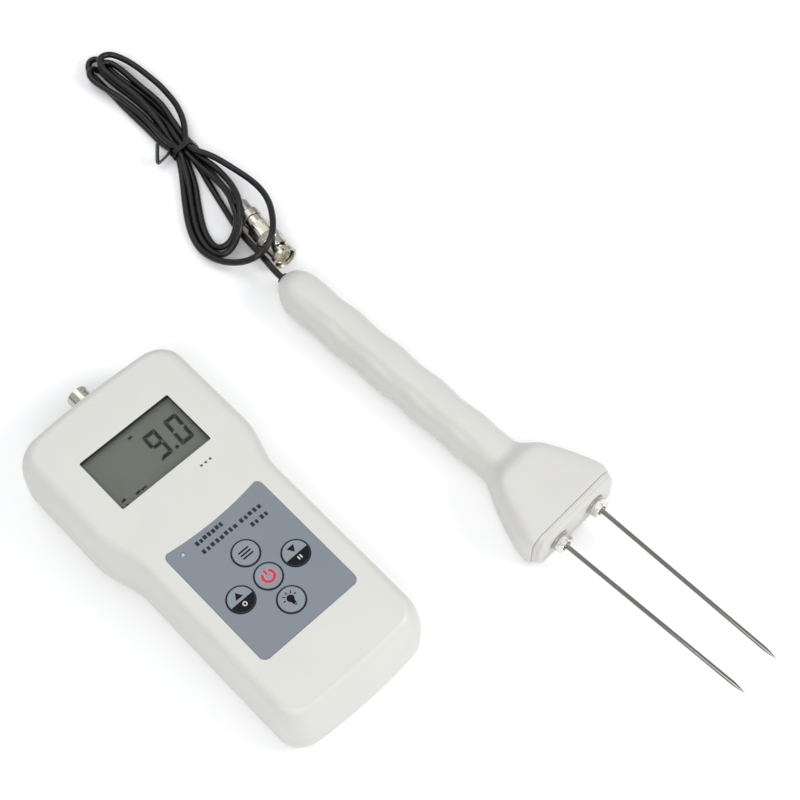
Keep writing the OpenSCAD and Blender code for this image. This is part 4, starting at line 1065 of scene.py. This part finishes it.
def lay_cord(points, step=2.4, rounds=420):
    """Settles the route: no two runs of the lead overlap, and it lies on the floor or on what is under it."""
    start = respace(catmull(points), step)
    p = start.copy()
    n = len(p)
    held = np.zeros(n)
    tie = np.array([*TIE_AT, 0.0])
    near_tie = np.linalg.norm((start - tie)[:, :2], axis=1) < 4.5
    held[near_tie] = 0.6
    run = np.arange(n) * step
    held[run < 10] = 1.0
    held[run > run[-1] - 8] = 1.0
    apart = np.abs(np.subtract.outer(np.arange(n), np.arange(n)))
    axis = np.array(at_plug(0, 1, 0)) - np.array(at_plug(0, 0, 0))
    mouth = np.array(at_plug(0, 0, 0))
    tie_bump = TIE_LIFT * np.exp(-(np.linalg.norm((start - tie)[:, :2], axis=1) / 7) ** 2)
    for k in range(rounds):
        q = p.copy()
        q[1:-1] += 0.16 * ((p[:-2] + p[2:]) / 2 - p[1:-1])
        q[:, :2] += 0.12 * (start[:, :2] - p[:, :2])
        q[:, 2] += 0.05 * (start[:, 2] - p[:, 2]) - 0.02
        seg = np.diff(q, axis=0)
        length = np.linalg.norm(seg, axis=1, keepdims=True)
        fix = seg / length * (length - step) * 0.25
        q[:-1] += fix
        q[1:] -= fix
        for _ in range(3):
            bow = (q[:-2] + q[2:]) / 2 - q[1:-1]
            size = np.linalg.norm(bow, axis=1, keepdims=True) + 1e-9
            ease = bow / size * np.maximum(0, size - step ** 2 / (2 * MIN_BEND)) * 0.5
            q[1:-1] += ease
            q[:-2] -= ease / 2
            q[2:] -= ease / 2
            diff = q[:, None, :] - q[None, :, :]
            dist = np.linalg.norm(diff, axis=2) + 1e-9
            push = np.where((apart > 3) & (dist < GAP), (GAP - dist) * 0.5, 0)
            q += (diff / dist[..., None] * push[..., None]).sum(axis=1) * 0.8
            rel = q - mouth
            l = rel @ axis
            off = rel - l[:, None] * axis
            r = np.linalg.norm(off, axis=1) + 1e-9
            need = np.array([plug_radius(v) + CORD_R + 0.05 if -1 < v < PLUG_L + 0.5 else 0 for v in l])
            need[run > run[-1] - 16] = 0
            short = np.maximum(0, need - r)
            q += off / r[:, None] * short[:, None]
            q[:, 2] = np.maximum(q[:, 2], CORD_R + 0.02 + tie_bump)
        q += held[:, None] * (start - q)
        p = q
    return p


laid = lay_cord(route)
control = respace(laid, 3.4)
inner_points = control[1:-1] - (control[:-2] + control[2:] - 2 * control[1:-1]) / 6
control = np.vstack([control[:1], inner_points, control[-1:]])

curve = bpy.data.curves.new("cord_look", "CURVE")
curve.dimensions = "3D"
curve.bevel_depth = CORD_R * MM
curve.bevel_resolution = 5
curve.resolution_u = 5
curve.use_fill_caps = True
spline = curve.splines.new("NURBS")
spline.points.add(len(control) - 1)
for point, c in zip(spline.points, control):
    point.co = (*(c * MM), 1)
spline.order_u = 4
spline.use_endpoint_u = True
curve.materials.append(CORD_SKIN)
cord = bpy.data.objects.new("cord_look", curve)
bpy.context.scene.collection.objects.link(cord)
settle(cord, "probe", ["cord_lead", "cord_tail", "cord_loop", "cord_hank"])

# ---------- tie ----------
strands = [
    (1.4, 1.4), (2.8, 3.82), (-2.8, 3.82), (0, 3.82), (-1.4, 1.4), (2.0, 6.25), (-4.2, 1.4), (4.2, 1.4)
]


def strap_loop(gap, n=72):
    """The taut loop round the strands, that far outside them, as (w, z)."""
    loop = []
    for t in np.linspace(0, math.tau, n, endpoint=False):
        c, s = math.cos(t), math.sin(t)
        w, z = max(strands, key=lambda q: q[0] * c + q[1] * s)
        loop.append((w + (CORD_R + gap) * c, z + TIE_LIFT + (CORD_R + gap) * s))
    return loop


STRAP_T = 0.6
inside, outside = strap_loop(0.06), strap_loop(0.06 + STRAP_T)
section = [(inside, -1.15), (inside, 1.15), (strap_loop(0.2), 1.3), (strap_loop(0.5), 1.3), (outside, 1.15),
           (outside, -1.15), (strap_loop(0.5), -1.3), (strap_loop(0.2), -1.3)]
strap_rings = [[at_tie(loop[i][0], a, loop[i][1]) for loop, a in section] for i in range(72)]
points = [p for ring in strap_rings for p in ring]
m = len(section)
faces = [(k * m + i, k * m + (i + 1) % m, ((k + 1) % 72) * m + (i + 1) % m, ((k + 1) % 72) * m + i)
         for k in range(72) for i in range(m)]


def ribbon(path, wide, width, thick):
    """A flat strip along a path; wide gives the direction of its width at each point."""
    p = [Vector(v) for v in path]
    rings = []
    for i, at in enumerate(p):
        t = (p[min(i + 1, len(p) - 1)] - p[max(i - 1, 0)]).normalized()
        w = Vector(wide(i / (len(p) - 1)))
        w = (w - t * w.dot(t)).normalized()
        n = t.cross(w)
        rings.append([at + w * a * width / 2 + n * b * thick / 2 for a,
                      b in ((-1, -0.5), (-0.85, -1), (0.85, -1), (1, -0.5), (1, 0.5), (0.85, 1), (-0.85, 1),
                            (-1, 0.5))])
    return loft(rings)


tail_path = catmull([(109.6, 163.2, 2.6), (108.0, 162.6, 3.2), (106.2, 161.6, 3.6), (103.4, 160.9, 3.8),
                     (101.0, 160.6, 4.0), (100.5, 160.9, 4.3), (100.9, 161.8, 4.6), (102.4, 163.6, 5.0),
                     (104.4, 165.9, 5.6), (106.1, 167.8, 6.1)], 6)
knot_path = catmull([(109.8, 162.9, 1.5), (108.6, 161.5, 2.6), (107.6, 160.3, 3.9), (107.4, 158.9, 4.8)], 6)
knot = ribbon(knot_path, lambda t: (math.cos(rad(200 * t)), 0.3, math.sin(rad(200 * t)) + 0.2), 1.7, 1.0)
tail = ribbon(tail_path, lambda t: (0.4, -0.5, 1), 1.9, 1.1)
tie = piece("cord_tie_look", *join((points, faces), knot, tail), TIE_SKIN, "probe", "tie_black",
            ["cord_tie"], 36)

# ---------- floor and light ----------
bpy.context.scene.view_settings.view_transform = "Standard"
floor = bpy.data.objects.new("floor", bpy.data.meshes.new("floor"))
floor.data.from_pydata([(-4, -4, 0), (4, -4, 0), (4, 4, 0), (-4, 4, 0)], [], [(0, 1, 2, 3)])
floor.data.materials.append(FLOOR)
bpy.context.scene.collection.objects.link(floor)

world = bpy.context.scene.world or bpy.data.worlds.new("world")
bpy.context.scene.world = world
world.use_nodes = True
sky = world.node_tree
background = sky.nodes["Background"]
background.inputs["Strength"].default_value = 0.66
direction = sky.nodes.new("ShaderNodeTexCoord")
height = sky.nodes.new("ShaderNodeSeparateXYZ")
fade = sky.nodes.new("ShaderNodeValToRGB")
fade.color_ramp.elements[0].position = 0.06
fade.color_ramp.elements[0].color = (0.25, 0.26, 0.27, 1)
fade.color_ramp.elements[1].position = 0.32
fade.color_ramp.elements[1].color = (0.97, 0.98, 1.0, 1)
sky.links.new(direction.outputs["Generated"], height.inputs[0])
sky.links.new(height.outputs["Z"], fade.inputs["Fac"])
sky.links.new(fade.outputs["Color"], background.inputs["Color"])


def area_light(name, at, size, power):
    lamp = bpy.data.objects.new(name, bpy.data.lights.new(name, "AREA"))
    lamp.data.shape = "DISK"
    lamp.data.size = size
    lamp.data.energy = power
    turn = (Vector(LIGHT_AIM) - Vector(at)).to_track_quat("-Z", "Y").to_matrix().to_4x4()
    lamp.matrix_world = Matrix.Translation(at) @ turn
    bpy.context.scene.collection.objects.link(lamp)
    return lamp


LIGHT_AIM = (0.04, 0.02, 0)
key_light = area_light("key_light_lamp", (0.75, -0.75, 0.7), 0.55, 6.2)
fill_light = area_light("fill_lamp", (-0.6, -0.5, 0.9), 0.8, 5.7)
top_light = area_light("top_lamp", (0.1, 0.5, 1.0), 0.8, 2.0)

# ---------- CAD nodes that show through gaps get softened edges ----------
EDGE_WIDTH = 0.00012
for node in ("case_screws", "board_screws", "probe_screws", "jack_insulator", "jack_contact", "jack_nut",
             "jack_washer", "lcd_frame", "lcd_panel", "main_chip", "board_parts", "buzzer", "tact_switches",
             "battery", "battery_snap", "plug_insulator", "plug_pin", "plug_washer", "needle_bushes",
             "solder_tags", "cable_clamp"):
    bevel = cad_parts[node].modifiers.new("soft_edges", "BEVEL")
    bevel.width = EDGE_WIDTH
    bevel.segments = 2
    bevel.limit_method = "ANGLE"
    bevel.angle_limit = rad(35)
